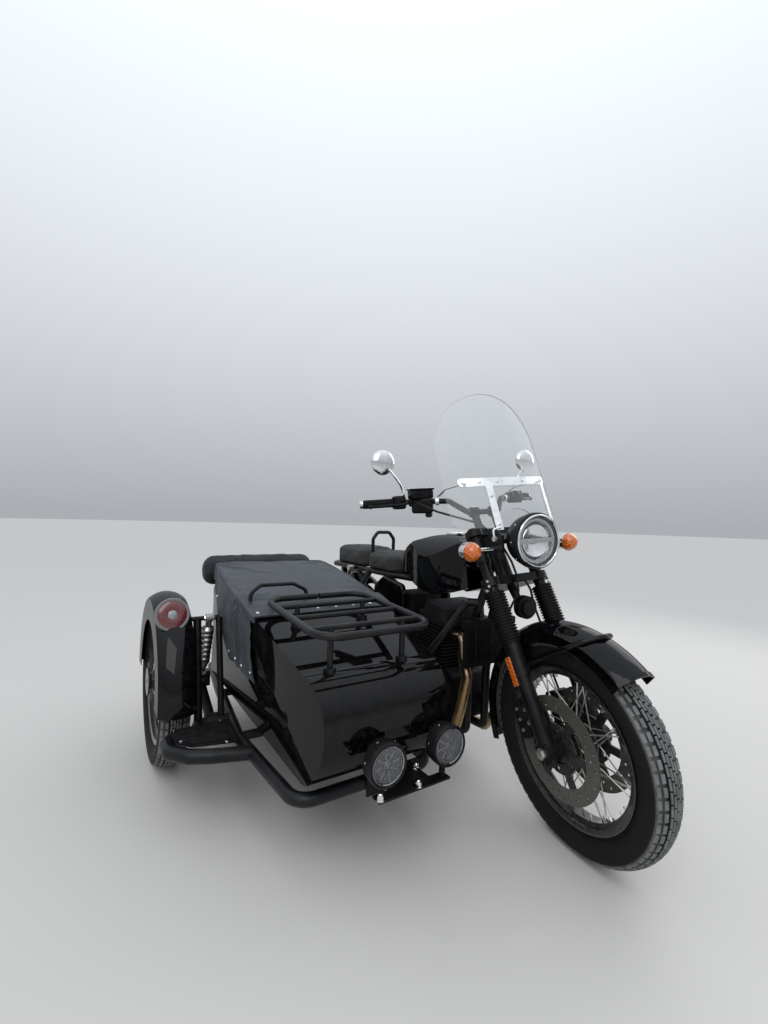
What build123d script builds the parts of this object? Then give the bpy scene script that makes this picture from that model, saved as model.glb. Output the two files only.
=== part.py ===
"""Sidecar motorcycle: a parallel-twin road motorcycle with a sidecar on its rider's right.

Millimetres. X points to the rider's left, Y to the rear, Z up, with the ground at Z = 0.
The bike stands on X = 0. The front wheel is turned to the rider's right, as the rig is parked.
"""
import math
import os

from build123d import *

# Stance
REAR_AXLE_Y = 1445
SIDECAR_WHEEL_Y = 1195
SIDECAR_WHEEL_X = -1024
PARKED_STEER = 10.5
RUNNING_GAP = 0.3
SEAT_GAP = 0.3

# Wheels and tyres
FRONT_TYRE_R = 327
FRONT_TYRE_HALF = 52
REAR_TYRE_R = 327
REAR_TYRE_HALF = 62
SIDECAR_TYRE_R = 327
SIDECAR_TYRE_HALF = 52
BEAD_R = 229
RIM_FLANGE_R = 241
RIM_HALF = 38
AXLE_R = 10
HUB_R = 30
HUB_FLANGE_R = 58
SPOKE_R = 2.2
SPOKES_A_SIDE = 16
DISC_R = 157
DISC_HALF_GAP = 69
DISC_THICK = 5
CARRIER_X = 64.5

# Steering head and fork
RAKE = 28.1
HEAD_Z = 860
HEAD_Y = 336
FORK_OFFSET = 45
LEG_X = 105
STANCHION_R = 20
SLIDER_R = 25
SLEEVE_R = 28
GAITER_R = 36
STEM_R = 14

# Bike body
FRAME_TUBE_R = 16
BACKBONE_R = 25
PIVOT_Y = 950
PIVOT_Z = 400
SEAT_TOP = 838
TANK_HALF = 140
TANK_TOP = 952

# Sidecar body
BODY_X = -575
BODY_HALF = 272
BODY_WALL = 6
BODY_FLOOR_Z = 248
NOSE_Y = 192
NOSE_HALF = 203
COWL_Y = 700
COWL_Z = 690
SEAT_BACK_Y = 1215
SEAT_BACK_Z = 790
DECK_Z = 640
TAIL_Y = 1740
TAIL_HALF = 118
PERIMETER_R = 20
PERIMETER_Z = 225
FRONT_RAIL_Y = 300
REAR_RAIL_Y = 1600
RACK_R = 11

rake = math.radians(RAKE)
steer_dir = (0, math.sin(rake), math.cos(rake))
head_along = (HEAD_Z - FRONT_TYRE_R) / math.cos(rake)
FRONT_AXLE_Y = HEAD_Y - head_along * math.sin(rake) - FORK_OFFSET / math.cos(rake)
leg_plane = Plane(origin=(0, FRONT_AXLE_Y, FRONT_TYRE_R), x_dir=(1, 0, 0), z_dir=steer_dir)
steer_axis = Axis((0, HEAD_Y, HEAD_Z), steer_dir)
LOWER_YOKE = head_along - 79
UPPER_YOKE = head_along + 111
YOKE_THICK = 30
front_axle = (0, FRONT_AXLE_Y, FRONT_TYRE_R)
rear_axle = (0, REAR_AXLE_Y, REAR_TYRE_R)
sidecar_axle = (SIDECAR_WHEEL_X, SIDECAR_WHEEL_Y, SIDECAR_TYRE_R)

pieces = []


def keep(part, name):
    """Label a finished piece and hold it for writing."""
    part.label = name
    pieces.append(part)


def bent_bar(points, radius, bend):
    """A round bar along the points, its corners rounded to the bend radius."""
    with BuildPart() as bar:
        with BuildLine() as route:
            if len(points) > 2:
                FilletPolyline(*points, radius=bend)
            else:
                Line(*points)
        with BuildSketch(Plane(origin=route.line @ 0, z_dir=route.line % 0)):
            Circle(radius)
        sweep(path=route.line)
    return bar.part


def straight_bar(start, end, radius):
    """A straight round bar between two points."""
    return bent_bar([start, end], radius, 0)


def flipped(points):
    """The points mirrored to the other side of the bike."""
    return [(-x, y, z) for x, y, z in points]


# Wheels


def tyre(radius, half):
    """A tyre as a ring round X: rounded tread, tall sidewalls and two beads, open to the rim."""
    wall = 9
    crown = radius - 16
    widest = (BEAD_R + radius) / 2 + 4
    with BuildPart() as casing:
        with BuildSketch():
            with BuildLine():
                shoulder = half - 7
                Line((31, BEAD_R + RUNNING_GAP), (31, RIM_FLANGE_R))
                ThreePointArc((31, RIM_FLANGE_R), (half - 1.5, widest - 22), (half, widest))
                ThreePointArc((half, widest), (half - 1, widest + 14), (shoulder, crown))
                ThreePointArc((shoulder, crown), (0, radius), (-shoulder, crown))
                ThreePointArc((-shoulder, crown), (1 - half, widest + 14), (-half, widest))
                ThreePointArc((-half, widest), (1.5 - half, widest - 22), (-31, RIM_FLANGE_R))
                Line((-31, RIM_FLANGE_R), (-31, BEAD_R + RUNNING_GAP))
                Line((-31, BEAD_R + RUNNING_GAP), (-20, BEAD_R + RUNNING_GAP))
                Line((-20, BEAD_R + RUNNING_GAP), (-22, RIM_FLANGE_R))
                ThreePointArc((-22, RIM_FLANGE_R), (wall - half, widest), (9 - shoulder, crown - 4))
                ThreePointArc(
                    (9 - shoulder, crown - 4), (0, radius - wall - 4), (shoulder - 9, crown - 4)
                )
                ThreePointArc((shoulder - 9, crown - 4), (half - wall, widest), (22, RIM_FLANGE_R))
                Line((22, RIM_FLANGE_R), (20, BEAD_R + RUNNING_GAP))
                Line((20, BEAD_R + RUNNING_GAP), (31, BEAD_R + RUNNING_GAP))
            make_face()
        revolve(axis=Axis.X)
    return casing.part


RIM_OUTLINE = [
    (RIM_HALF, RIM_FLANGE_R),
    (RIM_HALF - 3.5, RIM_FLANGE_R - 1),
    (31.5, RIM_FLANGE_R - 6),
    (31.5, BEAD_R),
    (19, BEAD_R - 1),
    (14, BEAD_R - 14),
]
RIM_INSIDE = [(18, BEAD_R - 18), (23, BEAD_R - 6), (34, BEAD_R - 5), (RIM_HALF, RIM_FLANGE_R - 6)]


def spoke_bars(flange_x, side):
    """The spokes of one hub flange, half of them leading and half trailing."""
    bars = []
    step = 360 / SPOKES_A_SIDE
    for number in range(SPOKES_A_SIDE):
        leading = number % 2
        lean = 38 if leading else -38
        start = math.radians(number * step)
        end = math.radians(number * step + lean)
        foot_x = side * (flange_x + (3 if leading else -3))
        foot = (foot_x, (HUB_FLANGE_R - 6) * math.cos(start), (HUB_FLANGE_R - 6) * math.sin(start))
        tip_r = BEAD_R - 12
        tip = (side * 7, tip_r * math.cos(end), tip_r * math.sin(end))
        bars.append(straight_bar(foot, tip, SPOKE_R))
    return bars


def laced_wheel(flange_x, hub_half):
    """A drop-centre rim, two flanges of crossed spokes and a bored hub, as one turning piece."""
    spokes = spoke_bars(flange_x, 1) + spoke_bars(flange_x, -1)
    with BuildPart() as wheel:
        with BuildSketch():
            with BuildLine():
                right_inside = [(-x, r) for x, r in reversed(RIM_INSIDE)]
                right_outline = [(-x, r) for x, r in RIM_OUTLINE]
                Polyline(
                    *RIM_OUTLINE,
                    *reversed(right_outline),
                    *right_inside,
                    *RIM_INSIDE,
                    close=True,
                )
            make_face()
        revolve(axis=Axis.X)
        with BuildSketch():
            with BuildLine():
                bore = AXLE_R + RUNNING_GAP
                edge = flange_x + 4
                profile = [
                    (0, HUB_R - 4), (flange_x - 14, HUB_R), (flange_x - 4, HUB_FLANGE_R - 4),
                    (flange_x - 2, HUB_FLANGE_R), (edge - 1, HUB_FLANGE_R), (edge, HUB_FLANGE_R - 4),
                    (edge + 6, HUB_R + 8), (hub_half - 10, HUB_R + 4), (hub_half - 6, 54), (hub_half, 54),
                    (hub_half, bore),
                ]
                Polyline(*profile, *[(-x, r) for x, r in reversed(profile[1:])], close=True)
            make_face()
        revolve(axis=Axis.X)
        add(spokes)
    return wheel.part


def brake_disc(radius, x_place, carrier_r=74):
    """A drilled brake disc with its dished carrier, standing beside the hub at X."""
    side = 1 if x_place > 0 else -1
    with BuildPart() as disc:
        with BuildSketch(Plane.YZ.offset(x_place - DISC_THICK / 2)):
            Circle(radius)
            Circle(radius - 46, mode=Mode.SUBTRACT)
            with PolarLocations(radius - 14, 18):
                Circle(4, mode=Mode.SUBTRACT)
            with PolarLocations(radius - 30, 18, start_angle=10):
                Circle(4, mode=Mode.SUBTRACT)
        extrude(amount=DISC_THICK)
        with BuildSketch(Plane.YZ.offset(side * (CARRIER_X + 3) - 3)):
            Circle(carrier_r)
            Circle(HUB_R + 14, mode=Mode.SUBTRACT)
            with PolarLocations((carrier_r + radius - 40) / 2, 6):
                Rectangle(radius - 36 - carrier_r + 22, 26)
            with PolarLocations(60, 6, start_angle=30):
                Circle(6, mode=Mode.SUBTRACT)
        extrude(amount=6)
    return disc.part


wheel_core = laced_wheel(34, CARRIER_X)

front_casing = tyre(FRONT_TYRE_R, FRONT_TYRE_HALF)
front_disc_left = brake_disc(DISC_R, DISC_HALF_GAP)
front_disc_right = brake_disc(DISC_R, -DISC_HALF_GAP)

with BuildPart() as front_tyre:
    with Locations(front_axle):
        add(front_casing)
with BuildPart() as front_wheel:
    with Locations(front_axle):
        add(wheel_core)
with BuildPart() as front_discs:
    with Locations(front_axle):
        add(front_disc_left)
        add(front_disc_right)

rear_casing = tyre(REAR_TYRE_R, REAR_TYRE_HALF)
with BuildPart() as rear_tyre:
    with Locations(rear_axle):
        add(rear_casing)
with BuildPart() as rear_wheel:
    with Locations(rear_axle):
        add(wheel_core)

SPROCKET_R = 92
SPROCKET_X = 67.5
rear_rotor = brake_disc(128, -DISC_HALF_GAP, 64)
with BuildPart() as rear_disc:
    with Locations(rear_axle):
        add(rear_rotor)
    with BuildSketch(Plane(rear_axle, x_dir=(0, 1, 0), z_dir=(1, 0, 0)).offset(SPROCKET_X - 3)):
        Circle(SPROCKET_R)
        with PolarLocations(SPROCKET_R, 42):
            Circle(4.5, mode=Mode.SUBTRACT)
        with PolarLocations(62, 6):
            Circle(15, mode=Mode.SUBTRACT)
        Circle(HUB_R + 4, mode=Mode.SUBTRACT)
    extrude(amount=6)

sidecar_casing = tyre(SIDECAR_TYRE_R, SIDECAR_TYRE_HALF)
sidecar_rotor = brake_disc(118, DISC_HALF_GAP, 60)
with BuildPart() as sidecar_tyre:
    with Locations(sidecar_axle):
        add(sidecar_casing)
with BuildPart() as sidecar_wheel:
    with Locations(sidecar_axle):
        add(wheel_core)
with BuildPart() as sidecar_disc:
    with Locations(sidecar_axle):
        add(sidecar_rotor)

# Fork and yokes


with BuildSketch() as yoke_plan:
    with Locations((-LEG_X, 0), (LEG_X, 0)):
        Circle(STANCHION_R + 13)
    with Locations((0, FORK_OFFSET)):
        Circle(38)
    with BuildLine():
        Polyline(
            (-LEG_X, -24), (LEG_X, -24), (LEG_X + 20, 14), (30, FORK_OFFSET + 30),
            (-30, FORK_OFFSET + 30), (-LEG_X - 20, 14), close=True,
        )
    make_face()


HORN_Y = 205
HORN_Z = 715
HORN_R = 40
SLIDER_TOP = 328
with BuildPart() as front_fork:
    with BuildSketch(leg_plane.offset(-34)):
        with Locations((-LEG_X, 0), (LEG_X, 0)):
            Circle(SLIDER_R)
    extrude(amount=SLIDER_TOP - 60)
    with BuildSketch(leg_plane.offset(SLIDER_TOP - 100)):
        with Locations((-LEG_X, 0), (LEG_X, 0)):
            Circle(SLEEVE_R)
    extrude(amount=100)
    with BuildSketch(leg_plane.offset(SLIDER_TOP - 104)):
        with Locations((-LEG_X, 0), (LEG_X, 0)):
            Circle(SLEEVE_R + 2.5)
    extrude(amount=22)
    with BuildSketch(leg_plane.offset(SLIDER_TOP - 120)):
        with Locations((-LEG_X, 0), (LEG_X, 0)):
            Circle(STANCHION_R)
    extrude(amount=UPPER_YOKE + YOKE_THICK + 4 - SLIDER_TOP + 120)
    with BuildSketch(leg_plane.offset(LOWER_YOKE)):
        add(yoke_plan.sketch)
    extrude(amount=YOKE_THICK)
    with BuildSketch(leg_plane.offset(UPPER_YOKE)):
        add(yoke_plan.sketch)
    extrude(amount=YOKE_THICK - 6)
    with BuildSketch(leg_plane.offset(LOWER_YOKE)):
        with Locations((0, FORK_OFFSET)):
            Circle(STEM_R)
    extrude(amount=UPPER_YOKE - LOWER_YOKE + YOKE_THICK)
    with BuildSketch(leg_plane.offset(UPPER_YOKE)):
        with Locations((0, FORK_OFFSET)):
            Circle(17)
    extrude(amount=YOKE_THICK + 4)
    with Locations(front_axle):
        Cylinder(AXLE_R, 2 * LEG_X + 2 * SLIDER_R + 16, rotation=(0, 90, 0))
        with Locations((-LEG_X, 0, 0), (LEG_X, 0, 0)):
            Cylinder(30, 2 * SLIDER_R - 2, rotation=(0, 90, 0))
    with Locations((0, HORN_Y, HORN_Z)):
        Cylinder(HORN_R, 26, rotation=(90, 0, 0))
        Cylinder(HORN_R - 14, 46, rotation=(90, 0, 0))
    with BuildSketch(Plane.YZ.offset(-12)):
        with BuildLine():
            Polyline((HORN_Y + 10, HORN_Z), (HORN_Y + 30, HORN_Z), (292, 782), (272, 790), close=True)
        make_face()
    extrude(amount=24)

GAITER_FOOT = SLIDER_TOP + SEAT_GAP
GAITER_TOP = LOWER_YOKE - 20
GAITER_RIBS = 18
with BuildPart() as right_gaiter:
    with BuildSketch(Plane(origin=(LEG_X, FRONT_AXLE_Y, FRONT_TYRE_R), x_dir=(1, 0, 0),
                           z_dir=(0, -math.cos(rake), math.sin(rake)))):
        with BuildLine():
            pitch = (GAITER_TOP - GAITER_FOOT) / GAITER_RIBS
            outline = [(STANCHION_R + 1, GAITER_FOOT), (GAITER_R - 5, GAITER_FOOT)]
            for rib in range(GAITER_RIBS):
                foot = GAITER_FOOT + rib * pitch
                outline += [(GAITER_R - 5, foot + pitch * 0.25), (GAITER_R, foot + pitch * 0.4)]
                outline += [(GAITER_R, foot + pitch * 0.7), (GAITER_R - 5, foot + pitch * 0.85)]
            outline += [(GAITER_R - 5, GAITER_TOP), (STANCHION_R + 1, GAITER_TOP)]
            Polyline(*outline, close=True)
        make_face()
    revolve(axis=Axis((LEG_X, FRONT_AXLE_Y, FRONT_TYRE_R), steer_dir))
with BuildPart() as fork_gaiters:
    add(right_gaiter.part)
    mirror(about=Plane.YZ)

# A caliper stands behind each slider and straddles its disc.
CALIPER_ALONG = 100
CALIPER_BACK = 88
caliper_plane = Plane(origin=(0, FRONT_AXLE_Y, FRONT_TYRE_R), x_dir=(0, math.cos(rake), -math.sin(rake)),
                      z_dir=(1, 0, 0))
DISC_CLEAR = 7.5
LUG_FROM = SLIDER_R + SEAT_GAP
with BuildPart() as left_caliper:
    with BuildSketch(caliper_plane.offset(DISC_HALF_GAP - 24)):
        with Locations((CALIPER_BACK, CALIPER_ALONG)):
            RectangleRounded(54, 118, 16)
    extrude(amount=56)
    with BuildSketch(caliper_plane.offset(DISC_HALF_GAP - DISC_THICK / 2 - DISC_CLEAR)):
        Circle(DISC_R + DISC_CLEAR)
    extrude(amount=DISC_THICK + 2 * DISC_CLEAR, mode=Mode.SUBTRACT)
    with BuildSketch(caliper_plane.offset(LEG_X - 14)):
        with Locations((LUG_FROM + 22, CALIPER_ALONG + 6)):
            Rectangle(44, 70)
    extrude(amount=13)
with BuildPart() as front_calipers:
    add(left_caliper.part)
    mirror(about=Plane.YZ)

# Front mudguard


def guard_shell(radius, half, drop, start, sweep_angle, thick=2.5):
    """A valanced mudguard round X: a crowned top with straight side skirts, from a start angle.

    The angle is measured from straight ahead, upwards over the wheel.
    """
    first = math.radians(start)
    plane = Plane(origin=(0, 0, 0), x_dir=(1, 0, 0), z_dir=(0, -math.sin(first), -math.cos(first)))
    with BuildPart() as shell:
        with BuildSketch(plane):
            with BuildLine():
                low = radius - drop
                shoulder = radius - half * 0.42
                Line((half, low), (half, shoulder))
                ThreePointArc((half, shoulder), (0, radius), (-half, shoulder))
                Line((-half, shoulder), (-half, low))
                Line((-half, low), (thick - half, low))
                Line((thick - half, low), (thick - half, shoulder))
                ThreePointArc(
                    (thick - half, shoulder), (0, radius - thick), (half - thick, shoulder)
                )
                Line((half - thick, shoulder), (half - thick, low))
                Line((half - thick, low), (half, low))
            make_face()
        revolve(axis=Axis((0, 0, 0), (-1, 0, 0)), revolution_arc=sweep_angle)
    return shell.part


GUARD_R = 378
GUARD_DROP = 60
GUARD_START = 50
LIP = 3
GUARD_HALF = 66
BAR_R = 8
guard_bar_route = [
    (68, FRONT_AXLE_Y + 117, 562), (75, FRONT_AXLE_Y + 59, 594), (75, FRONT_AXLE_Y - 61, 658),
    (56, FRONT_AXLE_Y - 99, 681), (0, FRONT_AXLE_Y - 125, 694),
]
guard_bar = bent_bar(guard_bar_route + flipped(reversed(guard_bar_route[:-1])), BAR_R, 26)
front_shell = guard_shell(GUARD_R, GUARD_HALF, GUARD_DROP, GUARD_START, 150)
guard_lip = guard_shell(GUARD_R + LIP, GUARD_HALF + LIP, GUARD_DROP + LIP, GUARD_START, 2, 2.5 + LIP)
MOUNT_ALONG = 300
mount_y = FRONT_AXLE_Y + MOUNT_ALONG * math.sin(rake)
mount_z = FRONT_TYRE_R + MOUNT_ALONG * math.cos(rake)
mount_reach = LEG_X - SLEEVE_R - SEAT_GAP - GUARD_HALF
with BuildPart() as front_mudguard:
    with Locations(front_axle):
        add(front_shell)
        add(guard_lip)
    add(guard_bar)
    with Locations((GUARD_HALF - 2, mount_y, mount_z), (2 - GUARD_HALF, mount_y, mount_z)):
        Box(4, 60, 62)
    with Locations((GUARD_HALF + mount_reach / 2 - 2, mount_y, mount_z),
                   (2 - GUARD_HALF - mount_reach / 2, mount_y, mount_z)):
        Box(mount_reach + 4, 44, 20)

# Headlamp, its ears and the front indicators
LAMP_Z = 953
LAMP_FACE_Y = 125
LAMP_R = 95
EAR_X = 96
BUCKET_R = 90
BUCKET_Y = LAMP_FACE_Y + 24


def dome_middle(radius, rise):
    """Half-way point (axial drop, radius) of a spherical dome of the given radius and rise."""
    sphere = (radius * radius + rise * rise) / (2 * rise)
    return sphere - math.sqrt(sphere * sphere - radius * radius / 4), radius / 2


with BuildPart() as headlamp:
    with BuildSketch(Plane.YZ):
        with BuildLine():
            Polyline((LAMP_FACE_Y + 8, LAMP_Z + 80), (LAMP_FACE_Y + 8, LAMP_Z + LAMP_R - 6),
                     (LAMP_FACE_Y, LAMP_Z + LAMP_R - 6), (LAMP_FACE_Y + 3, LAMP_Z + LAMP_R),
                     (LAMP_FACE_Y + 20, LAMP_Z + LAMP_R), (BUCKET_Y, LAMP_Z + BUCKET_R))
            CenterArc((BUCKET_Y, LAMP_Z), BUCKET_R, 0, 90)
            Polyline((BUCKET_Y + BUCKET_R, LAMP_Z), (LAMP_FACE_Y + 34, LAMP_Z),
                     (LAMP_FACE_Y + 30, LAMP_Z + 60), (LAMP_FACE_Y + 8, LAMP_Z + 80))
        make_face()
    revolve(axis=Axis((0, 0, LAMP_Z), (0, 1, 0)))
    with BuildSketch(Plane.YZ.offset(EAR_X - 4)):
        with BuildLine():
            Polyline((188, 915), (320, 905), (350, 940), (318, 955), (215, 988), (188, 975), close=True)
        make_face()
    extrude(amount=8)
    with BuildSketch(leg_plane.offset(LOWER_YOKE + YOKE_THICK + 58)):
        with Locations((LEG_X, 0)):
            Circle(STANCHION_R + 6)
    extrude(amount=74)
    with BuildSketch(leg_plane.offset(LOWER_YOKE + YOKE_THICK + 30)):
        with Locations((LEG_X, 0)):
            Circle(STANCHION_R + SEAT_GAP)
    extrude(amount=130, mode=Mode.SUBTRACT)
    with Locations((EAR_X - 18, LAMP_FACE_Y + 84, LAMP_Z)):
        Cylinder(9, 34, rotation=(0, 90, 0))
    mirror(about=Plane.YZ)

GLASS_R = 86
GLASS_RISE = 9
glass_drop, glass_half = dome_middle(GLASS_R, GLASS_RISE)
with BuildPart() as headlamp_glass:
    with BuildSketch(Plane.YZ):
        with BuildLine():
            Line((LAMP_FACE_Y - 6, LAMP_Z), (LAMP_FACE_Y - 2, LAMP_Z))
            ThreePointArc((LAMP_FACE_Y - 2, LAMP_Z), (LAMP_FACE_Y - 2 + glass_drop, LAMP_Z + glass_half),
                          (LAMP_FACE_Y - 2 + GLASS_RISE, LAMP_Z + GLASS_R))
            Line((LAMP_FACE_Y - 2 + GLASS_RISE, LAMP_Z + GLASS_R),
                 (LAMP_FACE_Y - 6 + GLASS_RISE, LAMP_Z + GLASS_R))
            ThreePointArc((LAMP_FACE_Y - 6 + GLASS_RISE, LAMP_Z + GLASS_R),
                          (LAMP_FACE_Y - 6 + glass_drop, LAMP_Z + glass_half), (LAMP_FACE_Y - 6, LAMP_Z))
        make_face()
    revolve(axis=Axis((0, 0, LAMP_Z), (0, 1, 0)))

INDICATOR_X = 213
INDICATOR_Z = 928
INDICATOR_Y = 205
INDICATOR_R = 32
with BuildPart() as front_indicators:
    with BuildSketch(Plane.XY.offset(INDICATOR_Z)):
        with BuildLine():
            Line((INDICATOR_X, INDICATOR_Y - INDICATOR_R + 2), (INDICATOR_X, INDICATOR_Y + INDICATOR_R + 22))
            CenterArc((INDICATOR_X, INDICATOR_Y + 22), INDICATOR_R, 0, 90)
            Line((INDICATOR_X + INDICATOR_R, INDICATOR_Y + 22), (INDICATOR_X + INDICATOR_R, INDICATOR_Y))
            Line((INDICATOR_X + INDICATOR_R, INDICATOR_Y), (INDICATOR_X + INDICATOR_R - 2, INDICATOR_Y))
            CenterArc((INDICATOR_X, INDICATOR_Y), INDICATOR_R - 2, 270, 90)
        make_face()
    revolve(axis=Axis((INDICATOR_X, 0, INDICATOR_Z), (0, 1, 0)))
    with Locations(((INDICATOR_X + EAR_X + 4 + SEAT_GAP) / 2, INDICATOR_Y + 24, INDICATOR_Z)):
        Cylinder(7, INDICATOR_X - EAR_X - 4 - SEAT_GAP, rotation=(0, 90, 0))
    mirror(about=Plane.YZ)

# Handlebar and what is on it
BAR_TUBE_R = 11
BAR_CENTRE = (0, 425, 1050)
bar_half = [(70, 425, 1050), (125, 478, 1098), (240, 565, 1102), (415, 657, 1099)]
bar_tube = bent_bar(list(reversed(bar_half)) + flipped(bar_half), BAR_TUBE_R, 26)
RISER_X = 45
with BuildPart() as handlebar:
    add(bar_tube)
    with BuildSketch(leg_plane.offset(UPPER_YOKE + YOKE_THICK - 6 + SEAT_GAP)):
        with Locations((-RISER_X, 34), (RISER_X, 34)):
            Circle(15)
    extrude(amount=84)
    with Locations((RISER_X, BAR_CENTRE[1], BAR_CENTRE[2]), (-RISER_X, BAR_CENTRE[1], BAR_CENTRE[2])):
        Cylinder(20, 30, rotation=(0, 90, 0))

grip_start = Vector(*bar_half[2])
grip_end = Vector(*bar_half[3])
grip_dir = (grip_end - grip_start).normalized()
grip_plane = Plane(origin=grip_start, z_dir=grip_dir)
GRIP_FROM = 78
GRIP_R = 16.5
grip_length = (grip_end - grip_start).length - GRIP_FROM
lever_points = [
    tuple(grip_start + grip_dir * 40 + Vector(0, -18.5, 0)),
    tuple(grip_start + grip_dir * 50 + Vector(-8, -42, -5)),
    tuple(grip_start + grip_dir * 80 + Vector(-20, -60, -8)),
    tuple(grip_start + grip_dir * 120 + Vector(-22, -56, -10)),
    tuple(grip_start + grip_dir * 196 + Vector(-12, -38, -10)),
]
lever = bent_bar(lever_points, 6, 10)
with BuildPart() as right_control:
    with BuildSketch(grip_plane.offset(GRIP_FROM)):
        Circle(GRIP_R)
        Circle(BAR_TUBE_R + SEAT_GAP, mode=Mode.SUBTRACT)
    extrude(amount=grip_length)
    with BuildSketch(grip_plane.offset(GRIP_FROM + grip_length + SEAT_GAP)):
        Circle(GRIP_R - 2)
    extrude(amount=14)
    with BuildSketch(grip_plane.offset(24)):
        Circle(24)
        Circle(BAR_TUBE_R + SEAT_GAP, mode=Mode.SUBTRACT)
    extrude(amount=GRIP_FROM - 26)
    add(lever)
bar_start = Vector(*bar_half[1])
bar_dir = (grip_start - bar_start).normalized()
reservoir_spot = bar_start + bar_dir * 121
reservoir_plane = Plane(origin=(-reservoir_spot.X, reservoir_spot.Y, reservoir_spot.Z),
                        z_dir=(-bar_dir.X, bar_dir.Y, bar_dir.Z))
with BuildPart() as hand_controls:
    add(right_control.part)
    mirror(about=Plane.YZ)
    with BuildSketch(reservoir_plane.offset(-14)):
        Circle(19)
        Circle(BAR_TUBE_R + SEAT_GAP, mode=Mode.SUBTRACT)
    extrude(amount=28)
    with Locations((-reservoir_spot.X, reservoir_spot.Y - 4, reservoir_spot.Z + 43)):
        Box(66, 50, 34)
    with Locations((-reservoir_spot.X, reservoir_spot.Y - 2, reservoir_spot.Z + 22)):
        Cylinder(9, 14)

mirror_spot = grip_start + grip_dir * 36
mirror_stem = bent_bar([
    (mirror_spot.X, mirror_spot.Y, mirror_spot.Z + 24 + SEAT_GAP), (mirror_spot.X, mirror_spot.Y, 1150),
    (300, 564, 1190), (340, 582, 1246),
], 5, 14)
with BuildPart() as mirrors:
    add(mirror_stem)
    with Locations((352, 585, 1262)):
        Cylinder(50, 16, rotation=(90, 0, 0))
    mirror(about=Plane.YZ)

# Windshield
SCREEN_BOTTOM = 1000
SCREEN_TOP = 1503
SCREEN_HALF = 230
SCREEN_REACH = 0.36
SCREEN_SLOPE = math.degrees(math.atan(SCREEN_REACH))
SCREEN_BEND_R = 460
SCREEN_THICK = 4.5
slope = math.radians(SCREEN_SLOPE)
screen_foot_y = 223 - 60 * SCREEN_REACH
STRAP_Z = 1156
screen_plane = Plane(origin=(0, screen_foot_y, SCREEN_BOTTOM - 60), x_dir=(1, 0, 0),
                     z_dir=(0, math.sin(slope), math.cos(slope)))


def curved_sheet(inner, thick):
    """A band of the screen's curve, from an inner offset outward, cut to the screen's width."""
    with Locations((0, SCREEN_BEND_R)):
        Circle(SCREEN_BEND_R + inner + thick)
        Circle(SCREEN_BEND_R + inner, mode=Mode.SUBTRACT)
    with Locations((0, 40)):
        Rectangle(2 * SCREEN_HALF + 60, 180, mode=Mode.INTERSECT)


with BuildPart() as windshield:
    with BuildSketch(screen_plane):
        curved_sheet(0, SCREEN_THICK)
    extrude(amount=760)
    with BuildSketch(Plane.XZ):
        with BuildLine():
            Polyline((-SCREEN_HALF, 1270), (-SCREEN_HALF, 1016), (16 - SCREEN_HALF, SCREEN_BOTTOM),
                     (SCREEN_HALF - 16, SCREEN_BOTTOM), (SCREEN_HALF, 1016), (SCREEN_HALF, 1270))
            EllipticalCenterArc((0, 1270), SCREEN_HALF, SCREEN_TOP - 1270, start_angle=0, arc_size=180)
        make_face()
        with Locations((0, LAMP_Z)):
            Circle(LAMP_R + 14, mode=Mode.SUBTRACT)
        with Locations((-168, STRAP_Z), (168, STRAP_Z)):
            Circle(4 + SEAT_GAP, mode=Mode.SUBTRACT)
    extrude(amount=1000, both=True, mode=Mode.INTERSECT)

STRAP_THICK = 3
EAR_BOLT_Y = 222
EAR_BOLT_Z = 962
ear_face = EAR_X + 4 + SEAT_GAP
right_rod = bent_bar([(-80, 221, 1000), (-ear_face - 5, EAR_BOLT_Y + 6, 994),
                      (-ear_face - 5, EAR_BOLT_Y, EAR_BOLT_Z)], 4, 8)
left_rod = bent_bar([(190, 257, 994), (150, 240, 974), (ear_face + 5, EAR_BOLT_Y, EAR_BOLT_Z)], 4, 12)
LINK_X = 160
link_spot = bar_start + bar_dir * ((LINK_X - bar_start.X) / bar_dir.X)
link_bars = []
for side in (1, -1):
    link_bars.append(bent_bar([(side * 168, 327, STRAP_Z), (side * 166, 430, STRAP_Z - 12),
                               (side * LINK_X, link_spot.Y - 2, link_spot.Z + 15)], 4, 16))
link_rings = []
for side in (1, -1):
    with BuildPart() as link_ring:
        with BuildSketch(Plane(origin=(side * link_spot.X, link_spot.Y, link_spot.Z),
                               z_dir=(side * bar_dir.X, bar_dir.Y, bar_dir.Z)).offset(-7)):
            Circle(16)
            Circle(BAR_TUBE_R + SEAT_GAP, mode=Mode.SUBTRACT)
        extrude(amount=14)
    link_rings.append(link_ring.part)
with BuildPart() as windshield_bars:
    with BuildSketch(screen_plane):
        curved_sheet(SCREEN_THICK + SEAT_GAP, STRAP_THICK)
    extrude(amount=760)
    with BuildSketch(Plane.XZ):
        with Locations((14, STRAP_Z + 6)):
            SlotOverall(400, 30)
        with Locations((-80, 1078)):
            Rectangle(26, 172)
        with Locations((190, 1080)):
            Rectangle(18, 180)
    extrude(amount=1000, both=True, mode=Mode.INTERSECT)
    add([right_rod, left_rod])
    add(link_bars)
    add(link_rings)
    with Locations((-ear_face - 5, EAR_BOLT_Y, EAR_BOLT_Z), (ear_face + 5, EAR_BOLT_Y, EAR_BOLT_Z)):
        Cylinder(9, 10, rotation=(0, 90, 0))
    with Locations((-168, 312, STRAP_Z), (168, 312, STRAP_Z)):
        Cylinder(4, 40, rotation=(90, 0, 0))

# Brake hoses: one from the handlebar to a splitter on the lower yoke, and one on to each caliper
HOSE_R = 4
HOSE_BEND = 16


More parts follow.
